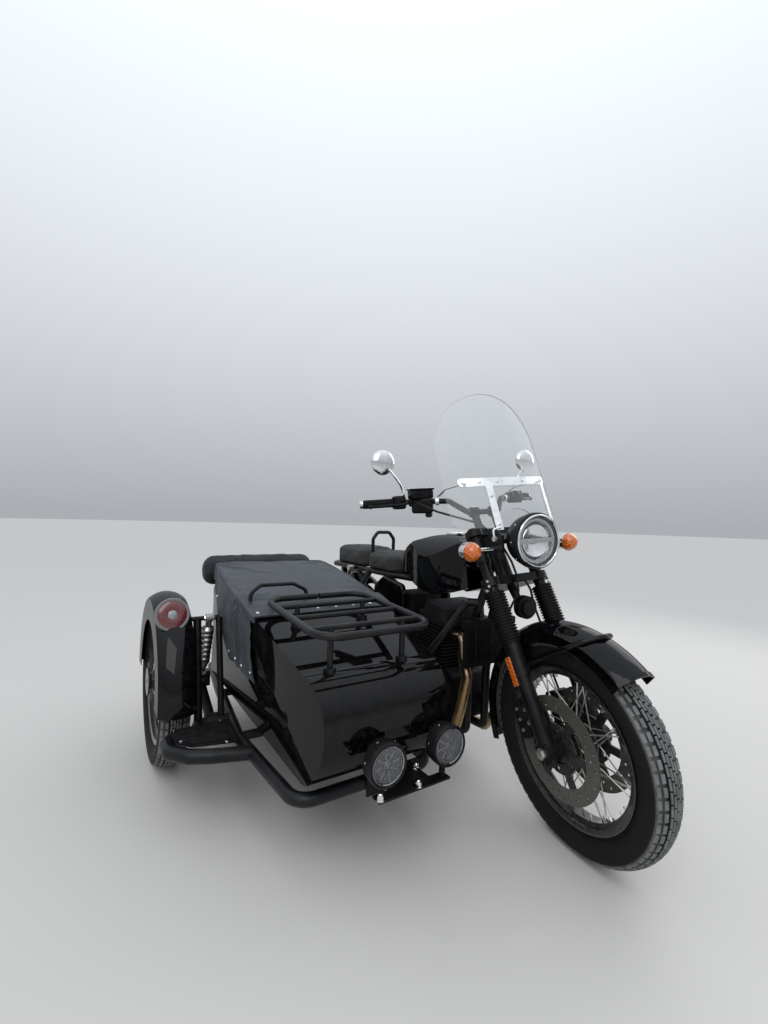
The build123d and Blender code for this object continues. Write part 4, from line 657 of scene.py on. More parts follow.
@dataclass(frozen=True)
class RadialFinish(Finish):
    """A turning piece whose finish changes with its distance from the axle."""

    centre: Point = (0.0, 0.0, 0.327)
    axis: Point = (1.0, 0.0, 0.0)
    inner: Point = (0.02, 0.02, 0.021)
    middle: Point = (0.5, 0.5, 0.5)
    outer: Point = (0.012, 0.012, 0.013)
    inner_to: float = 0.062
    outer_from: float = 0.206
    middle_metal: float = 1.0
    middle_rough: float = 0.30
    outer_gloss: float = 0.16

    def build(self, shader: Shader) -> None:
        """Three rings of finish: the hub, the middle and the rim."""
        radius = shader.radius_round(Vector(self.centre), Vector(self.axis))
        inside = radius < self.inner_to
        outside = radius > self.outer_from
        between = (1.0 - inside) * (1.0 - outside)
        smear = shader.noise(70.0, 5.0)
        dirt = smear.spread(0.45, 0.8, 0.0, 0.35)
        turned = (radius * 9000.0).wave()
        colour = shader.mix(inside, self.middle, self.inner)
        colour = shader.mix(outside, colour, self.outer)
        shader.surface(
            Base_Color=shader.mix(dirt, colour, (0.14, 0.125, 0.10)),
            Metallic=between * self.middle_metal,
            Roughness=between * (self.middle_rough - self.outer_gloss) + self.outer_gloss + smear * 0.16,
            Coat_Weight=outside * 0.6,
            Coat_Roughness=0.05,
        )
        shader.bump(turned * between, 0.00004, 0.4)


GLOSS = Lacquer("gloss_black_paint", "gloss_black")
SATIN = PowderCoat("satin_black_coat", "satin_black")
FORK_COAT = PowderCoat("fork_black_coat", "satin_black", (0.004, 0.004, 0.005), 0.32, 700.0, 0.00008, 0.20)
TUBE_COAT = PowderCoat("tube_black_coat", "satin_black", (0.004, 0.0045, 0.006), 0.34, 1100.0, 0.00012, 0.28)
CAST = PowderCoat("cast_black_coat", "engine_black", (0.005, 0.005, 0.006), 0.46, 520.0, 0.00035)
FINS = PowderCoat("fin_black_coat", "engine_black", (0.008, 0.008, 0.009), 0.48, 800.0, 0.00025, 0.3)
CORE = PowderCoat("radiator_core", "engine_black", (0.005, 0.005, 0.005), 0.6, 300.0, 0.0006, 0.08)
BOX_PLASTIC = PowderCoat("box_plastic", "plastic_black", (0.005, 0.005, 0.006), 0.55, 420.0, 0.0003)
CHROME = Metal("polished_chrome", "chrome", (0.78, 0.78, 0.79), 0.045, 0.0, 0.05)
# Chrome darkened as painted shade, for the bowl inside the headlamp.
SHADED_CHROME = Metal("shadowed_chrome", "chrome", (0.22, 0.22, 0.23), 0.12, 0.0, 0.08)
MIRROR = Metal("mirror_glass_silver", "chrome", (0.80, 0.82, 0.84), 0.01, 0.0, 0.02)
STAINLESS = Metal("stainless", "steel", (0.50, 0.49, 0.47), 0.22, 0.10, 0.12)
ZINC = Metal("zinc_plate", "steel", (0.56, 0.55, 0.52), 0.26, 0.0, 0.15)
WHITE_METAL = Metal("pale_alloy", "white_metal", (0.86, 0.88, 0.88), 0.34, 0.12, 0.12)
LAMP_GREY = Metal("lamp_bezel_grey", "chrome", (0.24, 0.24, 0.23), 0.30, 0.0, 0.10)
# The fog lamps' reflector, ribs and rim are chrome darkened as painted shade.
SHADED_FOG_MIRROR = Metal("fog_reflector", "chrome", (0.030, 0.032, 0.035), 0.12, 0.0, 0.25)
SHADED_FOG_RIBS = Metal("fog_ribs", "chrome", (0.09, 0.095, 0.10), 0.14, 0.0, 0.2)
SHADED_FOG_RIM = Metal("fog_rim", "chrome", (0.34, 0.35, 0.36), 0.07, 0.0, 0.05)
HEADERS = HeatTint("heat_tinted_steel", "bronze_steel")
GAITER = Rubber("gaiter_rubber", "rubber", (0.004, 0.004, 0.005), 0.46, 0.06)
GRIP = Rubber("grip_rubber", "plastic_black", (0.005, 0.005, 0.006), 0.60, 0.10)
SWITCH = Rubber("switch_plastic", "plastic_black", (0.005, 0.005, 0.006), 0.34, 0.05)
PEG_RUBBER = Rubber("peg_rubber", "rubber", (0.010, 0.010, 0.010), 0.65, 0.2)
HOSE = Rubber("hose_rubber", "rubber", (0.014, 0.014, 0.015), 0.38, 0.12)
PIPING = Rubber("piping_vinyl", "cover_cloth", (0.055, 0.060, 0.064), 0.45, 0.2)
SEAT = Upholstery("seat_vinyl", "seat_vinyl")
PAD = Upholstery("cowl_pad_vinyl", "seat_vinyl", (0.034, 0.039, 0.046), 0.50, 260.0, 0.2)
TONNEAU = CoverCloth(
    "tonneau_vinyl", "cover_cloth", (0.023, 0.029, 0.037), (0.042, 0.052, 0.067), 0.50, 2200.0
)
SOFT_TOP = CoverCloth(
    "soft_top_cloth", "top_cloth", (0.007, 0.008, 0.010), (0.017, 0.020, 0.025), 0.72, 1600.0, False
)
WEBBING = CoverCloth(
    "strap_webbing", "top_cloth", (0.012, 0.012, 0.013), (0.022, 0.022, 0.023), 0.7, 3000.0, False
)
CLEAR = ClearSheet("windshield_clear", "clear", film=0.10)
SCREEN_EDGE = ClearSheet("windshield_edge", "clear", (0.34, 0.40, 0.39), 0.72)
LAMP_GLASS = ClearSheet("lamp_clear", "lamp_glass", (0.7, 0.72, 0.74), 0.06)
AMBER = Lens("amber_lens", "chrome", (0.80, 0.17, 0.008))
RED = Lens("red_lens", "lamp_red", (0.17, 0.022, 0.026))
PRISM = Lens("clear_prism", "chrome", (0.36, 0.38, 0.39), 900.0)


# Making meshes


def linked(name: str, data: bpy.types.ID) -> bpy.types.Object:
    """An object with the data, in the scene."""
    thing = bpy.data.objects.new(name, data)
    bpy.context.scene.collection.objects.link(thing)
    return thing


def evaluated(thing: bpy.types.Object) -> bpy.types.Object:
    """The object as its modifiers leave it."""
    return thing.evaluated_get(bpy.context.evaluated_depsgraph_get())


def bevel_edges(bm: BMesh, width: float, segments: int = 2, sharp: float = 30.0) -> None:
    """Rounds every edge that is sharper than an angle, in degrees.

    Args:
        bm: The mesh in the making.
        width: How far each edge is cut back.
        segments: Facets across the rounding.
        sharp: The angle in degrees.
    """
    limit = math.radians(sharp)
    edges = [e for e in bm.edges if len(e.link_faces) == 2 and e.calc_face_angle(0.0) > limit]
    bmesh.ops.bevel(
        bm, geom=edges, offset=width, segments=segments, profile=0.5, affect="EDGES",
        material=-1, clamp_overlap=True,
    )


def block(size: Point, matrix: Matrix, bevel: float = 0.0, segments: int = 2) -> BMesh:
    """A box with rounded edges.

    Args:
        size: Its sizes along local X, Y and Z.
        matrix: Where it stands.
        bevel: The edges' rounding.
        segments: How many facets the rounding has.

    Returns:
        The mesh in the making.
    """
    bm = bmesh.new()
    bmesh.ops.create_cube(bm, size=1.0)
    bmesh.ops.scale(bm, vec=size, verts=bm.verts)
    if bevel:
        bevel_edges(bm, bevel, segments)
    bmesh.ops.transform(bm, matrix=matrix, verts=bm.verts)
    return bm


def spun(
    profile: Sequence[Flat], matrix: Matrix, steps: int = 48, closed: bool = False,
    arc: float = 360.0,
) -> BMesh:
    """A profile of (along, radius) pairs turned round local X.

    Args:
        profile: The points, in order.
        matrix: Where the turned piece stands.
        steps: Facets round the turn.
        closed: True where the profile is a ring that joins up.
        arc: The turn in degrees.

    Returns:
        The mesh in the making, with its poles closed.
    """
    bm = bmesh.new()
    verts = [bm.verts.new((x, 0.0, r)) for x, r in profile]
    edges = [bm.edges.new(pair) for pair in zip(verts, verts[1:])]
    if closed:
        edges.append(bm.edges.new((verts[-1], verts[0])))
    full = abs(arc - 360.0) < 1e-6
    bmesh.ops.spin(
        bm, geom=verts + edges, cent=(0, 0, 0), axis=(1, 0, 0), dvec=(0, 0, 0),
        angle=math.radians(arc), steps=steps, use_merge=full, use_duplicate=False,
    )
    bmesh.ops.remove_doubles(bm, verts=bm.verts, dist=1e-4)
    bmesh.ops.recalc_face_normals(bm, faces=bm.faces)
    bmesh.ops.transform(bm, matrix=matrix, verts=bm.verts)
    return bm


def stud(radius: float, height: float, matrix: Matrix, sides: int = 6, dome: float = 0.25) -> BMesh:
    """A bolt head or nut that stands along local X.

    Args:
        radius: From the middle to a corner.
        height: From seat to top.
        matrix: Where it stands.
        sides: Six for a hexagon, more for a round head.
        dome: The top edge's rounding, as a share of the height.

    Returns:
        The mesh in the making.
    """
    bm = bmesh.new()
    bmesh.ops.create_cone(
        bm, cap_ends=True, cap_tris=False, segments=sides, radius1=radius, radius2=radius,
        depth=height, matrix=moved(0, 0, height / 2),
    )
    top = [f for f in bm.faces if f.normal.z > 0.9]
    rim = list({e for f in top for e in f.edges})
    bmesh.ops.bevel(
        bm, geom=rim, offset=height * dome, segments=2, profile=0.5, affect="EDGES", material=-1,
    )
    bmesh.ops.transform(bm, matrix=matrix @ turned(90, "Y"), verts=bm.verts)
    return bm


def ball(radius: float, centre: Point) -> BMesh:
    """A sphere."""
    bm = bmesh.new()
    bmesh.ops.create_uvsphere(bm, u_segments=20, v_segments=12, radius=radius)
    bmesh.ops.transform(bm, matrix=Matrix.Translation(centre), verts=bm.verts)
    return bm


def tube(points: Sequence[Point], radius: float, sides: int = 10) -> BMesh:
    """A round wire or hose through points, smoothed as a NURBS line.

    Args:
        points: The control points.
        radius: The wire's radius.
        sides: Facets round it.

    Returns:
        The mesh in the making.
    """
    curve = bpy.data.curves.new("route", "CURVE")
    curve.dimensions = "3D"
    curve.bevel_depth = radius
    curve.bevel_resolution = max(1, sides // 4)
    curve.use_fill_caps = True
    curve.resolution_u = 8
    spline = curve.splines.new("NURBS")
    spline.points.add(len(points) - 1)
    for control, spot in zip(spline.points, points):
        control.co = (*spot, 1.0)
    spline.order_u = min(4, len(points))
    spline.use_endpoint_u = True
    holder = linked("route", curve)
    bpy.context.view_layer.update()
    mesh = bpy.data.meshes.new_from_object(evaluated(holder))
    bm = bmesh.new()
    bm.from_mesh(mesh)
    bpy.data.objects.remove(holder)
    bpy.data.meshes.remove(mesh)
    bpy.data.curves.remove(curve)
    bmesh.ops.remove_doubles(bm, verts=bm.verts, dist=1e-4)
    bmesh.ops.recalc_face_normals(bm, faces=bm.faces)
    return bm


def joined(parts: Iterable[BMesh]) -> BMesh:
    """Several meshes in the making, as one.

    Args:
        parts: The meshes, which are freed.

    Returns:
        The mesh in the making.
    """
    whole = bmesh.new()
    for part in parts:
        mesh = bpy.data.meshes.new("part")
        part.to_mesh(mesh)
        part.free()
        whole.from_mesh(mesh)
        bpy.data.meshes.remove(mesh)
    return whole


def from_node(node: str) -> BMesh:
    """A merged copy of a CAD node, in the machine's millimetres.

    Args:
        node: The CAD node's name.

    Returns:
        The mesh in the making.
    """
    bm = bmesh.new()
    bm.from_mesh(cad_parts[node].data)
    bmesh.ops.transform(bm, matrix=PLACE.frame_matrix().inverted(), verts=bm.verts)
    bmesh.ops.remove_doubles(bm, verts=bm.verts, dist=1e-3)
    return bm


def through_modifier(bm: BMesh, kind: str, settings: dict[str, object]) -> BMesh:
    """The mesh in the making after one modifier of a kind.

    Args:
        bm: The mesh in the making.
        kind: Blender's name for the modifier's type.
        settings: The modifier's values by name.

    Returns:
        The mesh in the making.
    """
    mesh = bpy.data.meshes.new("work")
    bm.to_mesh(mesh)
    bm.free()
    holder = linked("work", mesh)
    modifier = holder.modifiers.new("work", kind)
    for name, value in settings.items():
        setattr(modifier, name, value)
    result = bmesh.new()
    result.from_mesh(evaluated(holder).data)
    bpy.data.objects.remove(holder)
    bpy.data.meshes.remove(mesh)
    return result


def dress(node: str, finish: Finish) -> None:
    """Gives a CAD node a finish."""
    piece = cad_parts[node]
    piece.data.materials.clear()
    piece.data.materials.append(finish.material())
    log.info("node %s: %s", node, finish.name)


@dataclass
class Assembly:
    """A sub-assembly, whose pieces ride on one body."""

    body: Body = field(default=Body.CHASSIS, kw_only=True)
    steered: bool = field(default=False, kw_only=True)

    def add(
        self, name: str, parts: Union[BMesh, Iterable[BMesh]], finish: Finish,
        replaces: Sequence[str] = (), smooth: float = 35.0, subdivide: int = 0,
    ) -> bpy.types.Object:
        """Makes a piece's object, dresses it and puts it on the body.

        Args:
            name: The piece's name.
            parts: Its mesh in the making, or several, in millimetres.
            finish: Its finish.
            replaces: CAD nodes that it stands for.
            smooth: Edges sharper than this stay sharp, in degrees.
            subdivide: Levels of subdivision.

        Returns:
            The object, at the origin.
        """
        bm = parts if isinstance(parts, BMesh) else joined(parts)
        bmesh.ops.transform(bm, matrix=PLACE.matrix(self.steered), verts=bm.verts)
        mesh = bpy.data.meshes.new(name)
        bm.to_mesh(mesh)
        bm.free()
        mesh.polygons.foreach_set("use_smooth", [True] * len(mesh.polygons))
        mesh.set_sharp_from_angle(angle=math.radians(smooth))
        piece = linked(name, mesh)
        mesh.materials.append(finish.material())
        if subdivide:
            smoother = piece.modifiers.new("Subdivision", "SUBSURF")
            smoother.levels = subdivide
            smoother.render_levels = subdivide
        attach(piece, self.body.value)
        if replaces:
            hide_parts(*replaces)
        log.info("piece %s: %d faces on %s", name, len(mesh.polygons), self.body.value)
        return piece


@dataclass
class SteeredAssembly(Assembly):
    """A sub-assembly that turns with the handlebar and is modelled with it straight."""

    body: Body = field(default=Body.STEERING, kw_only=True)
    steered: bool = field(default=True, kw_only=True)


# Wheels


@dataclass
class RoadWheel(Assembly):
    """A laced wheel: block-tread tyre, nipples, and the finishes of its rim, spokes and discs."""

    prefix: str
    centre: Point
    radius: float = 327.0
    half: float = 52.0
    disc_outer: float = 0.157
    tread: float = 6.0
    pitches: int = 62
    nipples: int = 32

    def matrix(self) -> Matrix:
        """Local X along the axle, at the wheel's centre."""
        return Matrix.Translation(self.centre)

    def casing(self) -> BMesh:
        """The tyre's carcass, with a ribbed sidewall and grooves' floor at its crown.

        Returns:
            The mesh in the making.
        """
        top = self.radius - self.tread
        half = self.half
        side = [
            (20, 229.6), (31, 229.6), (31.2, 241), (34, 244.5), (33.2, 247.5), (38.5, 250), (half - 6, 262),
            (half - 1.2, 276), (half - 0.2, 286), (half, 290), (half - 0.8, 296), (half - 0.3, 298),
            (half - 1.6, 301), (half - 3.6, 306),
        ]
        crown = [
            (half - 8, 310), (half - 14, top - 8.5), (half - 24, top - 3.4), (half - 38, top - 0.9), (0, top),
        ]
        outer = side + crown
        inner = [(half - 11, 288), (half - 12, 300), (half - 22, 310), (0, 314)]
        left = [(-x, r) for x, r in reversed(outer[:-1])]
        inside = [(-x, r) for x, r in inner[:-1]] + list(reversed(inner))
        profile = outer + left + inside
        return spun(profile, self.matrix(), steps=96, closed=True)

    def crown_radius(self, offset: float) -> float:
        """The tread's outer radius at an offset across the tyre."""
        edge = self.half - 7.0
        drop = 16.0 * min(1.0, abs(offset) / edge) ** 2
        return self.radius - drop

    def tread_block(
        self, offset: float, width: float, length: float, angle: float, lean: float
    ) -> BMesh:
        """One tread block.

        Args:
            offset: Its centre across the tyre.
            width: Its size across the tyre.
            length: Its size round the tyre.
            angle: Its place round the tyre, in radians.
            lean: How far its top leans outwards, in degrees.

        Returns:
            The block in the making, placed on the crown.
        """
        tall = self.tread + 3.0
        out = moved(offset, 0.0, self.crown_radius(offset) - tall / 2)
        place = self.matrix() @ Matrix.Rotation(angle, 4, "X") @ out @ turned(lean, "Y")
        return block((width, length, tall), place, 0.9, 1)

    def make_tread(self) -> Parts:
        """Two rows of blocks at each shoulder and notched ribs between them."""
        yield self.casing()
        step = 2 * math.pi / self.pitches
        pitch = step * self.radius
        rows = [(self.half - 10.5, 10.5, 0.70, 33.0), (self.half - 24.0, 10.5, 0.70, 17.0)]
        ribs = [(-14.0, 6.6), (-4.8, 7.0), (4.8, 7.0), (14.0, 6.6)]
        for number in range(self.pitches):
            angle = number * step
            for offset, width, share, lean in rows:
                yield self.tread_block(offset, width, pitch * share, angle, lean)
                yield self.tread_block(-offset, width, pitch * share, angle + step / 2, -lean)
            for count, (offset, width) in enumerate(ribs):
                yield self.tread_block(offset, width, pitch * 0.86, angle + count * step / 3, offset * 0.7)

    def make_nipples(self) -> Parts:
        """The spoke nipples round the rim's well."""
        for number in range(self.nipples):
            angle = 2 * math.pi * (number + 0.5) / self.nipples
            side = 6.5 if number % 2 else -6.5
            place = self.matrix() @ Matrix.Rotation(angle, 4, "X") @ moved(side, 0.0, 214.0) @ turned(90, "Y")
            yield stud(3.4, 15.0, place, 6, 0.12)

    def make_valve(self) -> BMesh:
        """The tyre valve, with its cap."""
        profile = [(-2, 0), (-2, 4.5), (0, 5.5), (2, 4), (24, 4), (24, 5.2), (34, 5.2), (35, 4.0), (35, 0)]
        place = self.matrix() @ turned(37, "X") @ moved(0.0, 0.0, 213.0) @ turned(90, "Y")
        return spun(profile, place, 12)

    def build(self) -> None:
        """Makes and dresses the wheel's pieces."""
        name = self.prefix
        centre = tuple(PLACE.point(self.centre, self.steered))
        axis = tuple(PLACE.direction((1, 0, 0), self.steered))
        rubber = TreadRubber(f"{name}_tyre_rubber", "tyre", centre, axis, self.radius / 1000 - 0.006)
        laced = RadialFinish(f"{name}_wheel_finish", "steel", centre, axis, middle=(0.62, 0.61, 0.58))
        rotor = RadialFinish(
            f"{name}_disc_finish", "steel", centre, axis, inner=(0.008, 0.008, 0.009),
            middle=(0.008, 0.008, 0.009), outer=(0.060, 0.056, 0.046), inner_to=0.05,
            outer_from=self.disc_outer - 0.047, middle_metal=0.0, middle_rough=0.45, outer_gloss=0.36,
        )
        self.add(f"{name}_tyre_tread", self.make_tread(), rubber, [f"{name}_tyre"])
        self.add(f"{name}_nipples", self.make_nipples(), ZINC)
        self.add(f"{name}_valve", self.make_valve(), ZINC)
        dress(f"{name}_wheel", laced)
        dress("front_discs" if name == "front" else f"{name}_disc", rotor)


# Front end


@dataclass
class LampUnit(SteeredAssembly):
    """The headlamp: black bucket ring, chrome trim, light bar and reflector halves."""

    centre: Point = (0.0, 125.0, 953.0)
    glass_r: float = 84.0

    def matrix(self) -> Matrix:
        """Local X forwards, from the lamp's face."""
        return stand(self.centre, (0, -1, 0))

    def make_reflector(self, side: int) -> BMesh:
        """One half-round reflector cup, above or below the light bar.

        Args:
            side: 1 for the upper cup, -1 for the lower.

        Returns:
            The mesh in the making.
        """
        cup = spun(
            [(-30, 2), (-27, 20), (-20, 38), (-12, 54), (-14, 56), (-22, 40), (-29, 22), (-33, 2)],
            Matrix.Identity(4), 24, True, 180.0,
        )
        bmesh.ops.transform(cup, matrix=self.matrix() @ turned(-90 * side, "X"), verts=cup.verts)
        return cup

    def build(self) -> None:
        """Makes the lamp's pieces."""
        at = self.matrix()
        g = self.glass_r
        trim = [(-5, g - 1), (2, g - 2), (6, g + 0.5), (6.4, g + 3), (3, g + 5.5), (-4, g + 5.5)]
        self.add("headlamp_trim", spun(trim, at, 72, True), CHROME)
        halo = [(-11, 66), (-7.5, 67), (-6.5, 71), (-7.5, 75.5), (-12, 77), (-14, 72)]
        self.add("headlamp_halo", spun(halo, at, 72, True), PRISM)
        front = [(-44, 0), (-42, 24), (-36, 46), (-24, 62), (-12, 80)]
        bowl = front + [(-14, 82), (-27, 64), (-42, 46), (-48, 0)]
        # The bowl's darker chrome is painted shade inside the lamp.
        self.add("headlamp_bowl", spun(bowl, at, 56), SHADED_CHROME)
        bars = [block((6, 146, 16), at @ moved(-12, 0, 0), 2.4, 3)]
        for shift in (-30, 0, 30):
            bars.append(block((3, 22, 9), at @ moved(-8.5, shift, 0), 1.0, 2))
        self.add("headlamp_light_bar", bars, PRISM)
        self.add("headlamp_reflectors", [self.make_reflector(1), self.make_reflector(-1)], CHROME)
        screws = []
        for angle in (52, 90, 128, 232, 308):
            place = at @ turned(angle, "X") @ moved(-26, 0, 90)
            screws.append(stud(3.4, 4.5, place @ turned(-90, "Y"), 16, 0.4))
        self.add("headlamp_screws", screws, CHROME)
        dress("headlamp", FORK_COAT)
        dress("headlamp_glass", LAMP_GLASS)


@dataclass
class Indicators(SteeredAssembly):
    """Front indicators: chrome cups with ribbed amber domes."""

    half_span: float = 213.0
    face_y: float = 205.0
    height: float = 928.0
    radius: float = 31.4

    def build(self) -> None:
        """Makes the lenses and dresses the bodies."""
        r = self.radius
        arc = [math.radians(a) for a in range(0, 91, 6)]
        dome = [(-3, r - 3), (-3, r + 0.4)]
        dome += [(r * math.sin(a), r * math.cos(a) + 0.4 * math.cos(a)) for a in arc]
        rim = [(-1, r + 0.3), (0.6, r + 0.9), (1.2, r + 1.8), (-2, r + 2.4), (-7, r + 1.8), (-8, r + 0.6)]
        cups = [stand((side * self.half_span, self.face_y, self.height), (0, -1, 0)) for side in (1, -1)]
        self.add("indicator_lenses", [spun(dome, cup, 40) for cup in cups], AMBER)
        self.add("indicator_rims", [spun(rim, cup, 40, True) for cup in cups], CHROME)
        dress("front_indicators", CHROME)


@dataclass
class FrontEnd(SteeredAssembly):
    """Fork, gaiters, calipers, guard and the small pieces on them."""

    rake: float = 28.1
    leg_x: float = 105.0
    axle: Point = (0.0, 1.0, 327.0)
    gaiter_foot: float = 328.0
    yoke: float = 523.0

    def leg_point(self, side: float, along: float, out: float = 0.0, ahead: float = 0.0) -> Point:
        """A point beside a fork leg.

        Args:
            side: 1 for the left leg and -1 for the right one.
            along: Distance up the leg from the axle.
            out: Distance outwards from the leg's centre line.
            ahead: Distance forwards, square to the leg.

        Returns:
            The point, with the handlebar straight.
        """
        lean = math.radians(self.rake)
        y = self.axle[1] + along * math.sin(lean) - ahead * math.cos(lean)
        z = self.axle[2] + along * math.cos(lean) + ahead * math.sin(lean)
        return (side * (self.leg_x + out), y, z)

    def leg_way(self) -> Point:
        """The direction up the leg."""
        lean = math.radians(self.rake)
        return (0.0, math.sin(lean), math.cos(lean))

    def make_reflectors(self, out: float, size: Point, bevel: float) -> Parts:
        """Upright plates on the outer legs: the amber side reflectors, or their backs."""
        for side in (1, -1):
            yield block(size, stand(self.leg_point(side, 243, out), (side, 0, 0), self.leg_way()), bevel, 3)

    def make_axle_nuts(self) -> Parts:
        """The nuts and pinch bolts at the front axle."""
        for side in (1, -1):
            place = stand((side * (self.leg_x + 24), self.axle[1], self.axle[2]), (side, 0, 0))
            yield stud(17, 12, place, 6)
            for shift in (-16, 16):
                spot = self.leg_point(side, -16, 10, shift)
                yield stud(5, 7, stand(spot, tuple(-v for v in self.leg_way())), 6)

    def make_caliper_bolts(self) -> Parts:
        """Bolts of the calipers, their lugs, the guard's stays and the yokes."""
        for side in (1, -1):
            for along in (68, 100, 132):
                yield stud(6, 7, stand(self.leg_point(side, along, -4, -90), (side, 0, 0)), 6)
            for along in (86, 126):
                yield stud(7, 8, stand(self.leg_point(side, along, -1, -44), (side, 0, 0)), 6)
            for along in (self.yoke + 4, self.yoke + 22):
                yield stud(5.5, 9, stand(self.leg_point(side, along, 22, 16), (side * 0.6, -0.8, 0)), 6)
            spot = self.leg_point(side, self.yoke - 12, 30, 10)
            yield stud(7, 9, stand(spot, (side, -0.3, 0)), 12, 0.4)

    def make_clamps(self) -> Parts:
        """The gaiters' band clamps at their feet and heads."""
        for side in (1, -1):
            for along in (self.gaiter_foot + 5, self.gaiter_foot + 172):
                band = [(-3, 31.4), (3, 31.4), (3, 32.8), (-3, 32.8)]
                place = stand(self.leg_point(side, along), self.leg_way())
                yield spun(band, place, 36, True)

    def build(self) -> None:
        """Makes and dresses the front end."""
        self.add("fork_reflectors", self.make_reflectors(35.0, (4, 24, 90), 1.6), AMBER)
        self.add("fork_reflector_backs", self.make_reflectors(29.0, (10, 28, 96), 2.2), SATIN)
        self.add("axle_nuts", self.make_axle_nuts(), ZINC)
        self.add("caliper_bolts", self.make_caliper_bolts(), ZINC)
        self.add("gaiter_clamps", self.make_clamps(), SATIN)
        dress("front_fork", FORK_COAT)
        dress("fork_gaiters", GAITER)
        dress("front_calipers", CAST)
        dress("front_mudguard", GLOSS)
        dress("brake_hoses", HOSE)
        LampUnit().build()
        Indicators().build()


@dataclass
class Screen(SteeredAssembly):
    """The curved windshield, its edge and the bolts through its white straps."""

    foot_y: float = 201.4
    foot_z: float = 940.0
    reach: float = 0.36
    bend: float = 460.0
    half: float = 230.0
    bottom: float = 1000.0
    corner: float = 16.0
    shoulder: float = 1270.0
    top: float = 1503.0
    lamp_z: float = 953.0
    lamp_r: float = 109.0
    thick: float = 4.5
    columns: int = 72
    rows: int = 26

    def spot(self, x: float, z: float, radius: float) -> Point:
        """The point of the curved sheet at an X and a Z, at a radius of its bend.

        Args:
            x: The place across.
            z: The height.
            radius: The bend's radius there.

        Returns:
            The point.
        """
        slope = math.atan(self.reach)
        down = self.bend - math.sqrt(radius * radius - x * x)
        along = (z - self.foot_z + down * math.sin(slope)) / math.cos(slope)
        return (x, self.foot_y + down * math.cos(slope) + along * math.sin(slope), z)

    def outward(self, x: float) -> Vector:
        """The direction that the sheet's front faces, at an X."""
        slope = math.atan(self.reach)
        lean = math.asin(x / self.bend)
        return Vector((math.sin(lean), -math.cos(lean) * math.cos(slope), math.cos(lean) * math.sin(slope)))

    def low_edge(self, x: float) -> float:
        """The sheet's lower edge, with its round notch for the headlamp."""
        low = self.bottom + max(0.0, abs(x) - self.half + self.corner)
        if abs(x) < self.lamp_r:
            low = max(low, self.lamp_z + math.sqrt(self.lamp_r**2 - x * x))
        return low

    def high_edge(self, x: float) -> float:
        """The sheet's round upper edge."""
        share = min(1.0, abs(x) / self.half)
        return self.shoulder + (self.top - self.shoulder) * math.sqrt(1 - share * share)

    def make_sheet(self) -> BMesh:
        """The sheet as one grid of columns, given its thickness; its rim takes the second finish.

        Returns:
            The mesh in the making.
        """
        bm = bmesh.new()
        bmesh.ops.create_grid(bm, x_segments=self.columns, y_segments=self.rows, size=1.0)
        for vert in bm.verts:
            x = self.half * math.sin(math.radians(90 * vert.co.x)) * 0.9998
            share = (vert.co.y + 1) / 2
            z = self.low_edge(x) * (1 - share) + self.high_edge(x) * share
            vert.co = self.spot(x, z, self.bend)
        bmesh.ops.recalc_face_normals(bm, faces=bm.faces)
        if sum(f.normal.y for f in bm.faces) > 0:
            bmesh.ops.reverse_faces(bm, faces=bm.faces)
        bmesh.ops.solidify(bm, geom=bm.faces, thickness=-self.thick)
        for face in bm.faces:
            x = max(1 - self.half, min(self.half - 1, face.calc_center_median().x))
            face.material_index = int(abs(face.normal.dot(self.outward(x))) < 0.6)
        bmesh.ops.recalc_face_normals(bm, faces=bm.faces)
        return bm

    def make_bolts(self) -> Parts:
        """Button bolts through the straps, and the link bars' nuts."""
        for x, z, radius in (
            (-172, 1162, 5), (-112, 1162, 5), (-44, 1162, 5), (72, 1162, 5), (190, 1162, 6.5),
            (-80, 1112, 5), (-80, 1012, 5), (190, 1010, 5),
        ):
            place = stand(self.spot(x, z, self.bend + 7.6), tuple(self.outward(x)))
            yield stud(radius, 4.5, place, 18, 0.45)

    def build(self) -> None:
        """Makes the screen and its bolts."""
        sheet = self.add("windshield_sheet", self.make_sheet(), CLEAR, ["windshield"], 50.0)
        sheet.data.materials.append(SCREEN_EDGE.material())
        self.add("windshield_bolts", self.make_bolts(), CHROME)
        dress("windshield_bars", WHITE_METAL)


